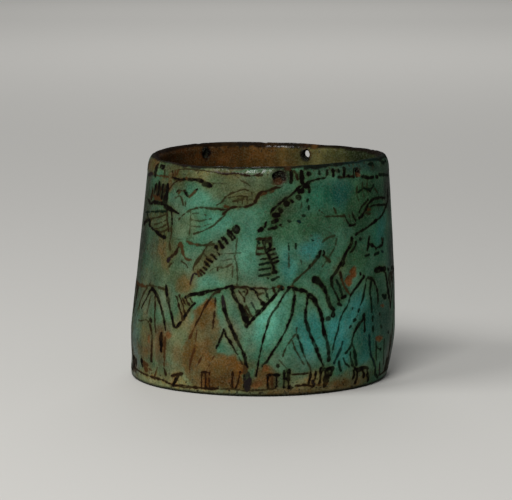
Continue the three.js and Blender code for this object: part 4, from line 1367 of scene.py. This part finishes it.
def buildWall():
    # the grid without the holes' blocks. Each hole gets a sleeve of rings that goes from the outer
    # block's edge to a ragged circle, along a bent bore through the wall and out to the inner block.
    columns, rows = pushed.shape[:2]
    index = np.arange(columns * rows).reshape(columns, rows)
    keep = np.ones((columns, rows), bool)
    points = [pushed.reshape(-1, 3)]
    layersA, layersZ, layersSide = [gridA.ravel()], [gridZ.ravel()], [gridSide.ravel()]
    depthShare = [np.zeros(columns * rows)]
    extraFaces = []
    total = columns * rows
    for number in range(len(lashingHoles["bearings"])):
        cols, outerBlock, innerBlock, outerRim, innerRim, middle = holeSleeve(number)
        keep[np.ix_(cols[:-1], outerBlock[:-1])] = False
        keep[np.ix_(cols[:-1], innerBlock[1:])] = False
        rimA = middle + wrapped(gridA[outerRim[:, 0], outerRim[:, 1]] - middle)
        turn = np.arctan2(gridZ[outerRim[:, 0], outerRim[:, 1]] - holeHeight, rimA - middle)
        flare, innerFlare = lashingHoles["flare"][number], lashingHoles["innerFlare"][number]
        waist, bend = lashingHoles["waist"][number], lashingHoles["bend"][number]
        ragged = 1 + 0.09 * np.sin(3 * turn + number) + 0.06 * np.sin(5 * turn + 2 * number)
        outerEdge = pushed[outerRim[:, 0], outerRim[:, 1]]
        innerEdge = pushed[innerRim[:, 0], innerRim[:, 1]]
        rings = []

        def through(radius, depth):
            stray = math.sin(math.pi * depth) ** 2
            a = middle + radius * np.cos(turn) + bend[0] * stray
            z = holeHeight + radius * np.sin(turn) + bend[1] * stray
            column, row = outerPlace(a, z)
            outerPoint = sampled(pushed, column, row)
            innerPoint = placed(a / refRadius, innerRadius(z), z)
            return mixed(outerPoint, innerPoint, depth), a, z

        mouth = through(flare * ragged, 0)[0]
        back = through(innerFlare * ragged, 1)[0]
        for share in (0.3, 0.55, 0.78, 0.93):
            rings.append((mixed(outerEdge, mouth, share), 0.0))
        bore = np.linspace(0, 1, lashingHoles["rings"])
        for depth in bore:
            radius = (waist + (flare * ragged - waist) * smoothStep(0.36, 0, depth) ** 1.2
                      + (innerFlare * ragged - waist) * smoothStep(0.7, 1, depth) ** 1.5)
            rings.append((through(radius, depth)[0], depth))
        for share in (0.93, 0.78, 0.55, 0.3):
            rings.append((mixed(innerEdge, back, share), 1.0))
        size = len(turn)
        before = index[outerRim[:, 0], outerRim[:, 1]]
        for ring, depth in rings:
            ids = total + np.arange(size)
            points.append(ring)
            ringA = np.arctan2(ring[:, 0] - leanAt(ring[:, 2]), -ring[:, 1]) * refRadius
            layersA.append(ringA)
            layersZ.append(ring[:, 2] - waveAt(ringA / refRadius, ring[:, 2]))
            layersSide.append(np.full(size, 1.0 if depth < 0.5 else 2.0))
            # how far into the bore a ring lies; it sets the painted shade there and the bore's roughness
            within = smoothStep(0.04, 0.2, depth) * smoothStep(0.99, 0.9, depth)
            depthShare.append(np.full(size, within))
            extraFaces.append(np.stack([before, np.roll(before, -1), np.roll(ids, -1), ids], 1))
            before = ids
            total += size
        after = index[innerRim[:, 0], innerRim[:, 1]]
        extraFaces.append(np.stack([before, np.roll(before, -1), np.roll(after, -1), after], 1))
    right, up = np.roll(index, -1, 0), np.roll(index, -1, 1)
    both = np.roll(up, -1, 0)
    quads = np.stack([index, right, both, up], -1)[keep]
    faces = np.concatenate([quads] + extraFaces)
    used, compact = np.unique(faces, return_inverse=True)
    faces = compact.reshape(faces.shape)
    pick = lambda parts: np.concatenate(parts)[used]
    return pick(points), faces, pick(layersA), pick(layersZ), pick(layersSide), pick(depthShare)


# the lining of the inside, from the left to the right: colour, and from where to where it takes over
liningTones = [
    (look(94, 65, 28), -0.1, 0.35),
    (look(82, 80, 44), 0.5, 0.85),
    (look(32, 39, 18), 0.84, 1),
]

surfaceTones = {
    "lining": look(54, 31, 13),
    "liningLow": look(60, 52, 34),
    "rebate": look(112, 92, 62),
    # painted shade on one side of each hole's mouth
    "mouthShade": look(19, 12, 13),
    # painted shade deep inside the bores
    "bore": look(13, 8, 8),
    "crest": look(18, 12, 8),
    # painted contact shadow along the bottom of the foot
    "footEdge": look(12, 10, 7),
}

# the dark line over the crest: how far it comes down outside and inside
crestLine = {"out": 0.45, "within": 0.75}

# marks in that line: centre, half width, colour, how far down outside and inside
crestMarks = [
    (-43, 8, (20, 14, 10), 0.2, 1.9),
    (-31, 4.5, (24, 17, 14), 0.25, 1.2),
    (-23.5, 3.4, (24, 16, 16), 0.7, 1.1),
    (16, 6.5, (13, 12, 10), 1.05, 0.9),
    (31.5, 9, (12, 23, 20), 0.6, 0.9),
    (46, 7, (14, 14, 10), 0.9, 0.9),
    (-93, 4.5, (32, 23, 13), 0.7, 1.1),
    (-101.5, 4.4, (18, 13, 10), 0.8, 1.3),
    (105.5, 1.8, (40, 28, 15), 0.7, 1.1),
    (99.6, 3.2, (18, 13, 10), 0.8, 1.3),
    (94.4, 1.3, (38, 21, 12), 0.8, 1.4),
    (91.4, 0.8, (66, 44, 21), 0.8, 1.2),
    (5.5, 1.2, (52, 30, 16), 1.3, 0.8),
]

# where the rim shines: centre, from where to where it fades, strength
nearShine = {"centre": -7, "fade": (11, 5), "strength": 0.55}
farShine = {"centre": 106, "fade": (13, 8), "strength": 0.4}


def insideLining(a, z):
    # brown at the left, olive at the right, greyer towards the floor, with streaks
    towardsRight = smoothStep(-1.0, 0.95, np.sin(a / refRadius) + 0.2 * cloud(a, z, 9, 81))
    colour = np.broadcast_to(surfaceTones["lining"], a.shape + (3,))
    for tone, start, end in liningTones:
        colour = mixed(colour, tone, smoothStep(start, end, towardsRight)[..., None])
    colour = mixed(colour, surfaceTones["liningLow"], smoothStep(30, 5, z)[..., None])
    return colour * (1 + 0.35 * cloud(a, z, 3, 82) + 0.2 * ringNoise(a, z * 0.2, 1.4, 85))[..., None]


def grimeAt(a, z):
    # most of it on the left, at the foot between the picture's two edges, and under the rim
    grime = np.clip(0.25 + 0.35 * cloud(a, z, 12, 86) + 0.5 * smoothStep(-22, -40, wrapped(a)), 0, 1)
    atEdge = smoothStep(9, 3, abs(abs(wrapped(a)) - 46))
    grime = np.maximum(grime, 0.9 * smoothStep(6.5, 3, z) * (1 - 0.8 * atEdge))
    return np.maximum(grime, 0.8 * smoothStep(54, 57, z))


def stainedMouths(colour, a, z, side):
    # a worn ring round each lashing hole, and shade on one side of its mouth
    h = lashingHoles
    for bearing, flare, halo, tone, dark in zip(
            h["bearings"], h["flare"], h["halo"], h["tone"], h["shadeSide"]):
        da, dz = wrapped(a - bearing * refRadius), z - holeHeight
        far = np.hypot(da, dz) / (flare + halo)
        ring = smoothStep(1.25, 0.85, far + 0.3 * cloud(a, z, 1.5, 87)) * (side != 3)
        colour = mixed(colour, look(*tone), (0.85 * ring)[..., None])
        # painted shade over one side of each hole's mouth
        towards = (da * math.cos(dark) + dz * math.sin(dark)) / flare
        mouthShadeShare = smoothStep(-0.45, 0.0, towards + 0.2 * cloud(a, z, 1, 98)) * smoothStep(1.2, 0.9, far)
        colour = mixed(colour, surfaceTones["mouthShade"], (0.94 * mouthShadeShare)[..., None])
    return colour


def crestBand(a, z, inner):
    # how much of the dark crest line is at each place, and its colour there
    out, within = np.full(a.shape, crestLine["out"]), np.full(a.shape, crestLine["within"])
    tone = np.broadcast_to(surfaceTones["crest"], a.shape + (3,))
    ragged = 0.9 * cloud(a, z * 0, 2.2, 84) + 1.2 * cloud(a, z, 1.4, 89)
    for centre, halfWidth, markTone, markOut, markWithin in crestMarks:
        share = smoothStep(halfWidth + 1, halfWidth - 1, abs(wrapped(a - centre)) + ragged)
        out, within = mixed(out, markOut, share), mixed(within, markWithin, share)
        tone = mixed(tone, look(*markTone), share[..., None])
    uneven = 1 + 0.35 * cloud(a, z * 0, 4, 83) + 0.25 * cloud(a, z, 1.1, 88)
    reach = np.where(inner, within, out) * uneven
    crest = smoothStep(reach + 0.25, reach - 0.2, vessel["height"] - z)
    return crest, tone * (1 + 0.5 * cloud(a, z, 0.9, 90))[..., None]


def rimShine(a, z, side):
    near, far = nearShine, farShine
    shine = near["strength"] * smoothStep(*near["fade"], abs(wrapped(a - near["centre"]))) * (side == 1)
    away = abs(wrapped(a - far["centre"])) + 2 * ringNoise(a, z, 1.3, 97)
    shine = shine + far["strength"] * smoothStep(*far["fade"], away) * (side == 2)
    return smoothStep(56.5, 57.3, z) * shine


def surfaceLayers(a, z, side, bore, paintShare):
    # the layers that the faience material reads, at places on the wall
    outside, inner, rebate = side <= 1, side == 2, side == 3
    colour = np.where(inner[..., None], insideLining(a, z), glazeColour(a, z))
    colour = np.where(rebate[..., None], surfaceTones["rebate"], colour)
    colour = stainedMouths(colour, a, z, side)
    # painted shade deep inside each lashing hole's bore
    colour = mixed(colour, surfaceTones["bore"], (0.98 * bore)[..., None])
    # painted contact shadow: the lowest millimetre of the outside and of the foot's underside turns near
    # black
    foot = smoothStep(1.0, 0.45, z + 0.15 * cloud(a, z, 2, 93)) * outside
    colour = mixed(colour, surfaceTones["footEdge"], (foot * 0.95)[..., None])
    crest, crestTone = crestBand(a, z, inner)
    return {
        "glaze": np.clip(colour, 0, 1),
        "bare": np.maximum(glazeLoss(a, z)[0] * outside, rebate * 0.9),
        "paint": np.maximum(paintShare, 0.95 * crest * ~rebate),
        "paintColour": mixed(mapAt(ink, a, z), crestTone, smoothStep(0.1, 0.4, crest)[..., None]),
        "fringe": mapAt(fringe, a, z) * outside,
        "bleed": mapAt(bleed, a, z) * outside,
        "grime": grimeAt(a, z),
        "bore": bore * np.ones(a.shape),
        "gloss": rimShine(a, z, side) * (1 - bore),
    }


# Steps that the finishes share

def newFinish(name):
    material = bpy.data.materials.new(name)
    material.use_nodes = True
    return material, material.node_tree, material.node_tree.nodes["Principled BSDF"]


def layerOf(tree, name, kind="Fac"):
    node = tree.nodes.new("ShaderNodeAttribute")
    node.attribute_name = name
    return node.outputs[kind]


def plug(tree, socket, value):
    # links a socket, or sets a number or a colour
    if isinstance(value, bpy.types.NodeSocket):
        tree.links.new(value, socket)
    elif isinstance(value, (int, float)):
        socket.default_value = value
    else:
        socket.default_value = (*value, 1)


def noise(tree, scale, detail, rough, shift=0.0):
    place = tree.nodes.new("ShaderNodeTexCoord").outputs["Object"]
    mapping = tree.nodes.new("ShaderNodeMapping")
    mapping.inputs["Location"].default_value = (shift, shift * 0.7, shift * 1.3)
    tree.links.new(place, mapping.inputs["Vector"])
    node = tree.nodes.new("ShaderNodeTexNoise")
    tree.links.new(mapping.outputs["Vector"], node.inputs["Vector"])
    for socket, value in (("Scale", scale), ("Detail", detail), ("Roughness", rough)):
        node.inputs[socket].default_value = value
    return node.outputs["Fac"]


def ranged(tree, value, low, high, toLow=0.0, toHigh=1.0, curve="SMOOTHSTEP"):
    node = tree.nodes.new("ShaderNodeMapRange")
    node.interpolation_type = curve
    sockets = ("Value", "From Min", "From Max", "To Min", "To Max")
    for socket, given in zip(sockets, (value, low, high, toLow, toHigh)):
        plug(tree, node.inputs[socket], given)
    return node.outputs["Result"]


def blend(tree, share, first, second, how="MIX"):
    node = tree.nodes.new("ShaderNodeMix")
    node.data_type = "RGBA"
    node.blend_type = how
    for number, value in ((0, share), (6, first), (7, second)):
        plug(tree, node.inputs[number], value)
    return node.outputs[2]


def maths(tree, operation, first, second):
    node = tree.nodes.new("ShaderNodeMath")
    node.operation = operation
    node.use_clamp = True
    plug(tree, node.inputs[0], first)
    plug(tree, node.inputs[1], second)
    return node.outputs[0]


def bumped(tree, shader, height, depth, strength=0.7):
    bump = tree.nodes.new("ShaderNodeBump")
    bump.inputs["Strength"].default_value = strength
    bump.inputs["Distance"].default_value = depth
    tree.links.new(height, bump.inputs["Height"])
    tree.links.new(bump.outputs["Normal"], shader.inputs["Normal"])


faienceFinish = {
    "clouds": (150, 6, 0.6),  # scale, detail and roughness of each noise, and its shift
    "mottle": (520, 4, 0.6, 5.3),
    "grain": (1150, 3, 0.6, 3.1),
    "fine": (2400, 2, 0.5, 7.7),
    "thin": (0.8, 0.87, 0.85),
    "thick": (1.22, 1.14, 1.17),
    "glazeRough": (0.34, 0.5),
    "rimRough": 0.3,
    "coatRough": 0.2,
    "paintRough": 0.8,
    "bareRough": 0.9,
    "bareColour": look(98, 62, 33),
    "barePale": look(122, 88, 54),
    "grimeColour": look(34, 27, 15),
    "bloomColour": look(120, 134, 108),
    "dust": look(134, 147, 124),
    "shine": 0.006,
    "bumpDepth": 0.00016,
}


def faienceMaterial():
    # glaze over a gritty body, with fired-in paint: layers give the places, noise gives the grain
    f = faienceFinish
    material, tree, shader = newFinish("painted_faience")
    bare, paintShare, gloss = (layerOf(tree, name) for name in ("bare", "paint", "gloss"))
    grime = layerOf(tree, "grime")
    clouds, mottle = noise(tree, *f["clouds"]), noise(tree, *f["mottle"])
    grain, fine = noise(tree, *f["grain"]), noise(tree, *f["fine"])

    def tinted(colour, tint):
        return blend(tree, 1.0, colour, tint, "MULTIPLY")

    def washed(colour, source, low, high, amount, tint):
        # tinted where the source lies beyond low, fully from high on
        return blend(tree, ranged(tree, source, low, high, 0.0, amount), colour, tinted(colour, tint))

    def dusted(colour, source, low, high, amount):
        return blend(tree, ranged(tree, source, low, high, 0.0, amount), colour, f["dust"])

    def dirtier(source, low, high, clean, dirty):
        # specks of a noise, with their amount at no grime and at full grime
        specks = ranged(tree, source, low, high)
        return maths(tree, "MULTIPLY", specks, ranged(tree, grime, 0.0, 1.0, clean, dirty))

    glaze = layerOf(tree, "glaze", "Color")
    cloudy = ranged(tree, clouds, 0.36, 0.64)
    colour = blend(tree, cloudy, tinted(glaze, f["thin"]), tinted(glaze, f["thick"]))
    colour = washed(colour, mottle, 0.48, 0.36, 0.6, (0.84, 0.76, 0.66))
    colour = washed(colour, mottle, 0.54, 0.68, 0.6, (1.28, 1.2, 1.24))
    colour = washed(colour, layerOf(tree, "bleed"), 0.04, 0.5, 0.7, (1.0, 0.76, 0.54))
    colour = washed(colour, grain, 0.48, 0.34, 0.7, (0.69, 0.73, 0.7))
    colour = dusted(colour, grain, 0.52, 0.66, 0.06)
    brown = tinted(colour, (0.95, 0.68, 0.42))
    colour = blend(tree, dirtier(mottle, 0.5, 0.62, 0.0, 0.7), colour, brown)
    colour = blend(tree, dirtier(grain, 0.57, 0.64, 0.1, 0.9), colour, f["grimeColour"])
    colour = blend(tree, dirtier(fine, 0.34, 0.28, 0.3, 0.2), colour, f["bloomColour"])
    colour = washed(colour, fine, 0.5, 0.36, 0.8, (0.64, 0.68, 0.65))
    colour = dusted(colour, fine, 0.5, 0.64, 0.09)
    colour = washed(colour, layerOf(tree, "fringe"), 0.08, 0.55, 0.78, (0.68, 0.46, 0.34))
    body = blend(tree, ranged(tree, grain, 0.42, 0.62), f["bareColour"], f["barePale"])
    body = blend(tree, ranged(tree, mottle, 0.4, 0.6, 0.8, 0.3), body, f["bareColour"])
    body = blend(tree, ranged(tree, fine, 0.4, 0.6), tinted(body, (0.7, 0.68, 0.62)), body)
    colour = blend(tree, bare, colour, body)
    worn = maths(tree, "MULTIPLY", paintShare, ranged(tree, grain, 0.3, 0.4, 0.7, 1.0))
    colour = blend(tree, worn, colour, layerOf(tree, "paintColour", "Color"))
    tree.links.new(colour, shader.inputs["Base Color"])

    glossy = tree.nodes.new("ShaderNodeMix")
    rough = ranged(tree, mottle, 0.35, 0.65, *f["glazeRough"])
    for number, value in ((0, gloss), (2, rough), (3, f["rimRough"])):
        plug(tree, glossy.inputs[number], value)
    rough = glossy.outputs[0]
    bore = layerOf(tree, "bore")
    for layer, roughness in ((bare, "bareRough"), (paintShare, "paintRough"), (bore, "bareRough")):
        rough = maths(tree, "MAXIMUM", rough, maths(tree, "MULTIPLY", layer, f[roughness]))
    tree.links.new(rough, shader.inputs["Roughness"])
    shader.inputs["Specular IOR Level"].default_value = f["shine"]
    specks = maths(tree, "ADD", ranged(tree, grain, 0.46, 0.56), ranged(tree, fine, 0.5, 0.6, 0.0, 0.4))
    unpainted = maths(tree, "SUBTRACT", 1.0, paintShare)
    glints = maths(tree, "MULTIPLY", ranged(tree, fine, 0.635, 0.68, 0.0, 0.4), unpainted)
    coat = maths(tree, "ADD", maths(tree, "MULTIPLY", gloss, specks), glints)
    tree.links.new(coat, shader.inputs["Coat Weight"])
    shader.inputs["Coat Roughness"].default_value = f["coatRough"]

    height = 0.0
    for source, share in ((mottle, 0.4), (grain, 0.4), (fine, 0.2)):
        height = maths(tree, "ADD", maths(tree, "MULTIPLY", source, share), height)
    bumped(tree, shader, height, f["bumpDepth"])
    return material


faience = faienceMaterial()

wallPoints, wallFaces, wallA, wallZ, wallSide, wallBore = buildWall()
wall = newPiece("vessel_wall", wallPoints, [wallFaces], faience,
                surfaceLayers(wallA, wallZ, wallSide, wallBore, np.zeros(len(wallA))))
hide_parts("wall")
print("wall:", len(wallFaces) * 2, "triangles")


# Each group of strokes becomes a thin closed skin of paint, raised a little in the glaze. At its edge
# the skin dips under the glaze, so the visible edge is where the paint thins out.

skin = {"cut": 0.1, "full": 0.6, "dip": 0.014, "rise": 0.034, "under": 0.1, "footRows": 6, "rimRows": 4}
stepU = np.roll(pushed, -1, 0) - np.roll(pushed, 1, 0)
stepV = np.roll(pushed, -1, 1) - np.roll(pushed, 1, 1)
gridNormal = np.cross(stepU, stepV)
gridNormal /= np.linalg.norm(gridNormal, axis=-1, keepdims=True)


def filledCorners(mask):
    # cells that meet only at a corner get a third cell between them, so that the skin stays closed
    for _ in range(6):
        right, up = np.roll(mask, -1, 0), np.roll(mask, -1, 1)
        both = np.roll(up, -1, 0)
        slash = mask & both & ~right & ~up
        back = right & up & ~mask & ~both
        if not (slash.any() or back.any()):
            break
        mask = mask | np.roll(slash, 1, 0) | back
    return mask


def brushworkSkin(name, number):
    most = np.maximum.reduce([paint, np.roll(paint, -1, 0), np.roll(paint, -1, 1),
                              np.roll(np.roll(paint, -1, 0), -1, 1)])
    mask = (most > skin["cut"]) & (owner == number)
    mask[:, -skin["rimRows"]:] = False
    mask[:, :skin["footRows"]] = False
    mask = filledCorners(mask)
    cells = np.argwhere(mask)
    corner = lambda di, dj: ((cells[:, 0] + di) % mapAcross) * mapUp + cells[:, 1] + dj
    quads = np.stack([corner(0, 0), corner(1, 0), corner(1, 1), corner(0, 1)], 1)
    used, compact = np.unique(quads, return_inverse=True)
    quads = compact.reshape(quads.shape)
    count = len(used)
    a, z = mapA[used // mapUp], mapZ[used % mapUp]
    column, row = outerPlace(a, z)
    base, normal = sampled(pushed, column, row), sampled(gridNormal, column, row)
    here = paint.reshape(-1)[used]
    rise = -skin["dip"] + skin["rise"] * smoothStep(skin["cut"], skin["full"], here)
    top = base + normal * rise[:, None]
    under = base - normal * skin["under"]
    sides = []
    for di, dj, first, second in ((0, -1, 0, 1), (1, 0, 1, 2), (0, 1, 2, 3), (-1, 0, 3, 0)):
        neighbour = mask[(cells[:, 0] + di) % mapAcross, np.clip(cells[:, 1] + dj, 0, mapUp - 1)]
        edge = quads[~neighbour]
        p, q = edge[:, first], edge[:, second]
        sides.append(np.stack([q, p, p + count, q + count], 1))
    faces = np.concatenate([quads, quads[:, ::-1] + count] + sides)
    points = np.concatenate([top, under])
    layers = surfaceLayers(a, z, np.ones(count), np.zeros(count), here)
    layers = {key: np.concatenate([value, value]) for key, value in layers.items()}
    piece = newPiece(name, points, [faces], faience, layers, math.radians(80))
    print(name + ":", len(faces) * 2, "triangles")
    return piece


for number, name in enumerate(groups):
    brushworkSkin(name, number)


# Floor and luting

def lathed(name, slot, values, profile, push):
    # a closed section of (radius, height) rows turned about the foot's centre, each ring pushed by a
    # noise of its place; a radius of 0 at both ends closes on two poles
    profile, columns = np.array(profile, float), values["columns"]
    angle = np.arange(columns) / columns * 2 * math.pi
    theta, row = np.meshgrid(angle, np.arange(len(profile)), indexing="ij")
    radius, z = profile[row, 0], profile[row, 1]
    dr, dz = push(theta, radius, z)
    radius, z = radius + dr, z + dz
    x = radius * np.sin(theta) + leanAt(z)
    points = np.stack([x, -radius * np.cos(theta), z], -1).reshape(-1, 3)
    index = np.arange(columns * len(profile)).reshape(columns, len(profile))
    if profile[0, 0] > 0:
        right, up = np.roll(index, -1, 0), np.roll(index, -1, 1)
        both = np.roll(up, -1, 0)
        faces = [np.stack([index, right, both, up], -1).reshape(-1, 4)]
        kept = np.ones(len(points), bool)
    else:
        low, high = index[0, 0], index[0, -1]
        inner = index[:, 1:-1]
        right = np.roll(inner, -1, 0)
        body = np.stack([inner[:, :-1], right[:, :-1], right[:, 1:], inner[:, 1:]], -1).reshape(-1, 4)
        floor = np.stack([np.full(columns, low), right[:, 0], inner[:, 0]], 1)
        top = np.stack([np.full(columns, high), inner[:, -1], right[:, -1]], 1)
        faces = [body, floor, top]
        kept = np.zeros(len(points), bool)
        kept[inner.ravel()] = True
        kept[[low, high]] = True
    order = np.cumsum(kept) - 1
    faces = [order[f] for f in faces]
    return newPiece(name, points[kept], faces, plainFinish(slot, values), None, math.radians(60))


def plainFinish(name, values):
    # an unpainted surface: three colours through two sizes of noise, with matching bump
    material, tree, shader = newFinish(name)
    broad, small = (noise(tree, scale, 5, 0.5) for scale in values["noise"])
    dark, pale, spot = values["tones"]
    colour = blend(tree, ranged(tree, broad, 0.32, 0.68, curve="LINEAR"), dark, pale)
    colour = blend(tree, ranged(tree, small, 0.52, 0.66, curve="LINEAR"), colour, spot)
    tree.links.new(colour, shader.inputs["Base Color"])
    shader.inputs["Roughness"].default_value = values["rough"]
    bumped(tree, shader, small, values["bumpDepth"])
    return material


floorDisc = {
    "radius": (discHigh.y - discLow.y) / 2 / mm,
    "low": discLow.z / mm,
    "high": discHigh.z / mm,
    "edge": 0.6,
    "rings": 60,
    "columns": 180,
    "tones": (look(66, 62, 38), look(104, 96, 62), look(54, 42, 26)),
    "noise": (190, 700),
    "rough": 0.7,
    "bumpDepth": 0.0002,
}
lutingRing = {
    "fillet": 2.2,
    "rise": 2.2,
    "columns": 220,
    "tones": (look(98, 80, 50), look(132, 112, 76), look(70, 66, 40)),
    "noise": (260, 1100),
    "rough": 0.86,
    "bumpDepth": 0.00025,
}


def discProfile():
    d = floorDisc
    edge = d["edge"]
    across = np.linspace(0, d["radius"] - edge, d["rings"])
    turn = np.linspace(0, math.pi / 2, 5)[1:]
    low = [(r, d["low"]) for r in across]
    low += [(across[-1] + edge * math.sin(t), d["low"] + edge * (1 - math.cos(t))) for t in turn]
    high = [(across[-1] + edge * math.cos(t), d["high"] - edge * (1 - math.sin(t))) for t in turn]
    high += [(r, d["high"]) for r in across[-2::-1]]
    return low + [(d["radius"], d["high"] - edge)] + high


def discPush(theta, radius, z):
    # shallow swells and scratches on both faces, none at the edge
    a = theta * refRadius
    share = smoothStep(floorDisc["radius"] - 0.5, floorDisc["radius"] - 4, radius)
    swirl = cloud(a * 0.5 + radius, radius * 1.5, 9, 91) * 0.14 + cloud(a, radius * 2, 3, 92) * 0.04
    calm = smoothStep(0, 3, radius)
    sign = np.where(z > (floorDisc["low"] + floorDisc["high"]) / 2, 1, -1)
    return 0 * radius, sign * swirl * share * calm - np.where(sign > 0, 0.1, -0.1) * share


disc = lathed("floor_slab", "floor_faience", floorDisc, discProfile(), discPush)
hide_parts("floor_disc")


def lutingProfile():
    # a collar beside the disc, a bed under the ledge, and a hollow fillet in the corner above
    v, r = vessel, lutingRing
    low, top = floorDisc["low"] + 0.3, v["ledgeHeight"]
    over = floorDisc["high"] - 0.05
    inside = v["rebateRadius"] - 0.02
    collar = floorDisc["radius"] + 0.02
    rows = [(collar, low), (inside, low), (inside, top - 0.02), (v["ledgeRadius"] + 0.4, top - 0.02)]
    climb = np.linspace(top, top + r["rise"], 5)
    rows += [(float(innerRadius(z)) + 0.12, z) for z in climb]
    for t in np.linspace(0, math.pi / 2, 12):
        z = mixed(top + r["rise"], over + 0.25, math.sin(t))
        thick = mixed(0.05, r["fillet"] + 0.4, 1 - math.cos(t))
        rows.append((float(innerRadius(np.array(max(z, top)))) - thick, z))
    rows += [(v["ledgeRadius"] - r["fillet"] - 0.5, over), (collar, over)]
    return rows


def lutingPush(theta, radius, z):
    # lumps left by the finger that smeared the slip
    a = theta * refRadius
    lumps = 0.16 * cloud(a, z * 2 + radius, 5, 95) + 0.07 * ringNoise(a, z * 3, 1.6, 96)
    free = smoothStep(vessel["ledgeHeight"] - 0.6, vessel["ledgeHeight"], z) * (radius < 29)
    return -lumps * free, 0.6 * lumps * free


luting = lathed("luting_slip", "quartz_slip", lutingRing, lutingProfile(), lutingPush)
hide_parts("luting_ring")
print("floor and luting are in")


# Floor of the studio, lights and camera

studio = {
    "floorHalf": 5.0,
    "floorColour": look(198, 196, 191),
    "worldColour": look(222, 224, 226),
    "worldStrength": 0.22,
}
floorMesh = bpy.data.meshes.new("studio_floor")
half = studio["floorHalf"]
corners = [(-half, -half, 0), (half, -half, 0), (half, half, 0), (-half, half, 0)]
floorMesh.from_pydata(corners, [], [(0, 1, 2, 3)])
studioFloor = bpy.data.objects.new("studio_floor", floorMesh)
bpy.context.scene.collection.objects.link(studioFloor)
floorMaterial = bpy.data.materials.new("studio_floor")
floorMaterial.use_nodes = True
floorShader = floorMaterial.node_tree.nodes["Principled BSDF"]
floorShader.inputs["Base Color"].default_value = (*studio["floorColour"], 1)
floorShader.inputs["Roughness"].default_value = 0.9
floorMesh.materials.append(floorMaterial)

scene = bpy.context.scene
world = bpy.data.worlds.new("studio")
scene.world = world
world.use_nodes = True
backdrop = world.node_tree.nodes["Background"]
backdrop.inputs["Color"].default_value = (*studio["worldColour"], 1)
backdrop.inputs["Strength"].default_value = studio["worldStrength"]


def softLight(name, place, aim, size, watts):
    lamp = bpy.data.lights.new(name, "AREA")
    lamp.shape = "SQUARE"
    lamp.size = size
    lamp.energy = watts
    obj = bpy.data.objects.new(name, lamp)
    scene.collection.objects.link(obj)
    obj.location = place
    towards = np.array(aim) - np.array(place)
    yaw = math.atan2(towards[1], towards[0]) - math.pi / 2
    pitch = math.atan2(towards[2], math.hypot(towards[0], towards[1]))
    obj.rotation_euler = (math.pi / 2 + pitch, 0, yaw)
    return obj


vesselMiddle = (0, 0, 0.03)
softLight("key", (-0.193, -0.775, 0.857), vesselMiddle, 0.42, 8)
softLight("side", (-0.84, -0.374, 0.75), vesselMiddle, 0.6, 6.5)
softLight("back", (0.05, 1.2, 0.8), vesselMiddle, 0.8, 4)
softLight("farFloor", (0, 1.8, 0.85), (0, 2.3, 0), 0.8, 5.4)  # keeps the background pale to its top

camera = {"place": (0.132, -700, 131.8), "down": 8.04, "left": 0.158, "lens": 187.8, "film": 36.0}
lens = bpy.data.cameras.new("camera")
lens.lens = camera["lens"]
lens.sensor_width = camera["film"]
lens.clip_start, lens.clip_end = 0.01, 50
cameraObject = bpy.data.objects.new("camera", lens)
scene.collection.objects.link(cameraObject)
cameraObject.location = [c * mm for c in camera["place"]]
cameraObject.rotation_euler = (math.radians(90 - camera["down"]), 0, math.radians(camera["left"]))
scene.camera = cameraObject
scene.view_settings.view_transform = "Standard"
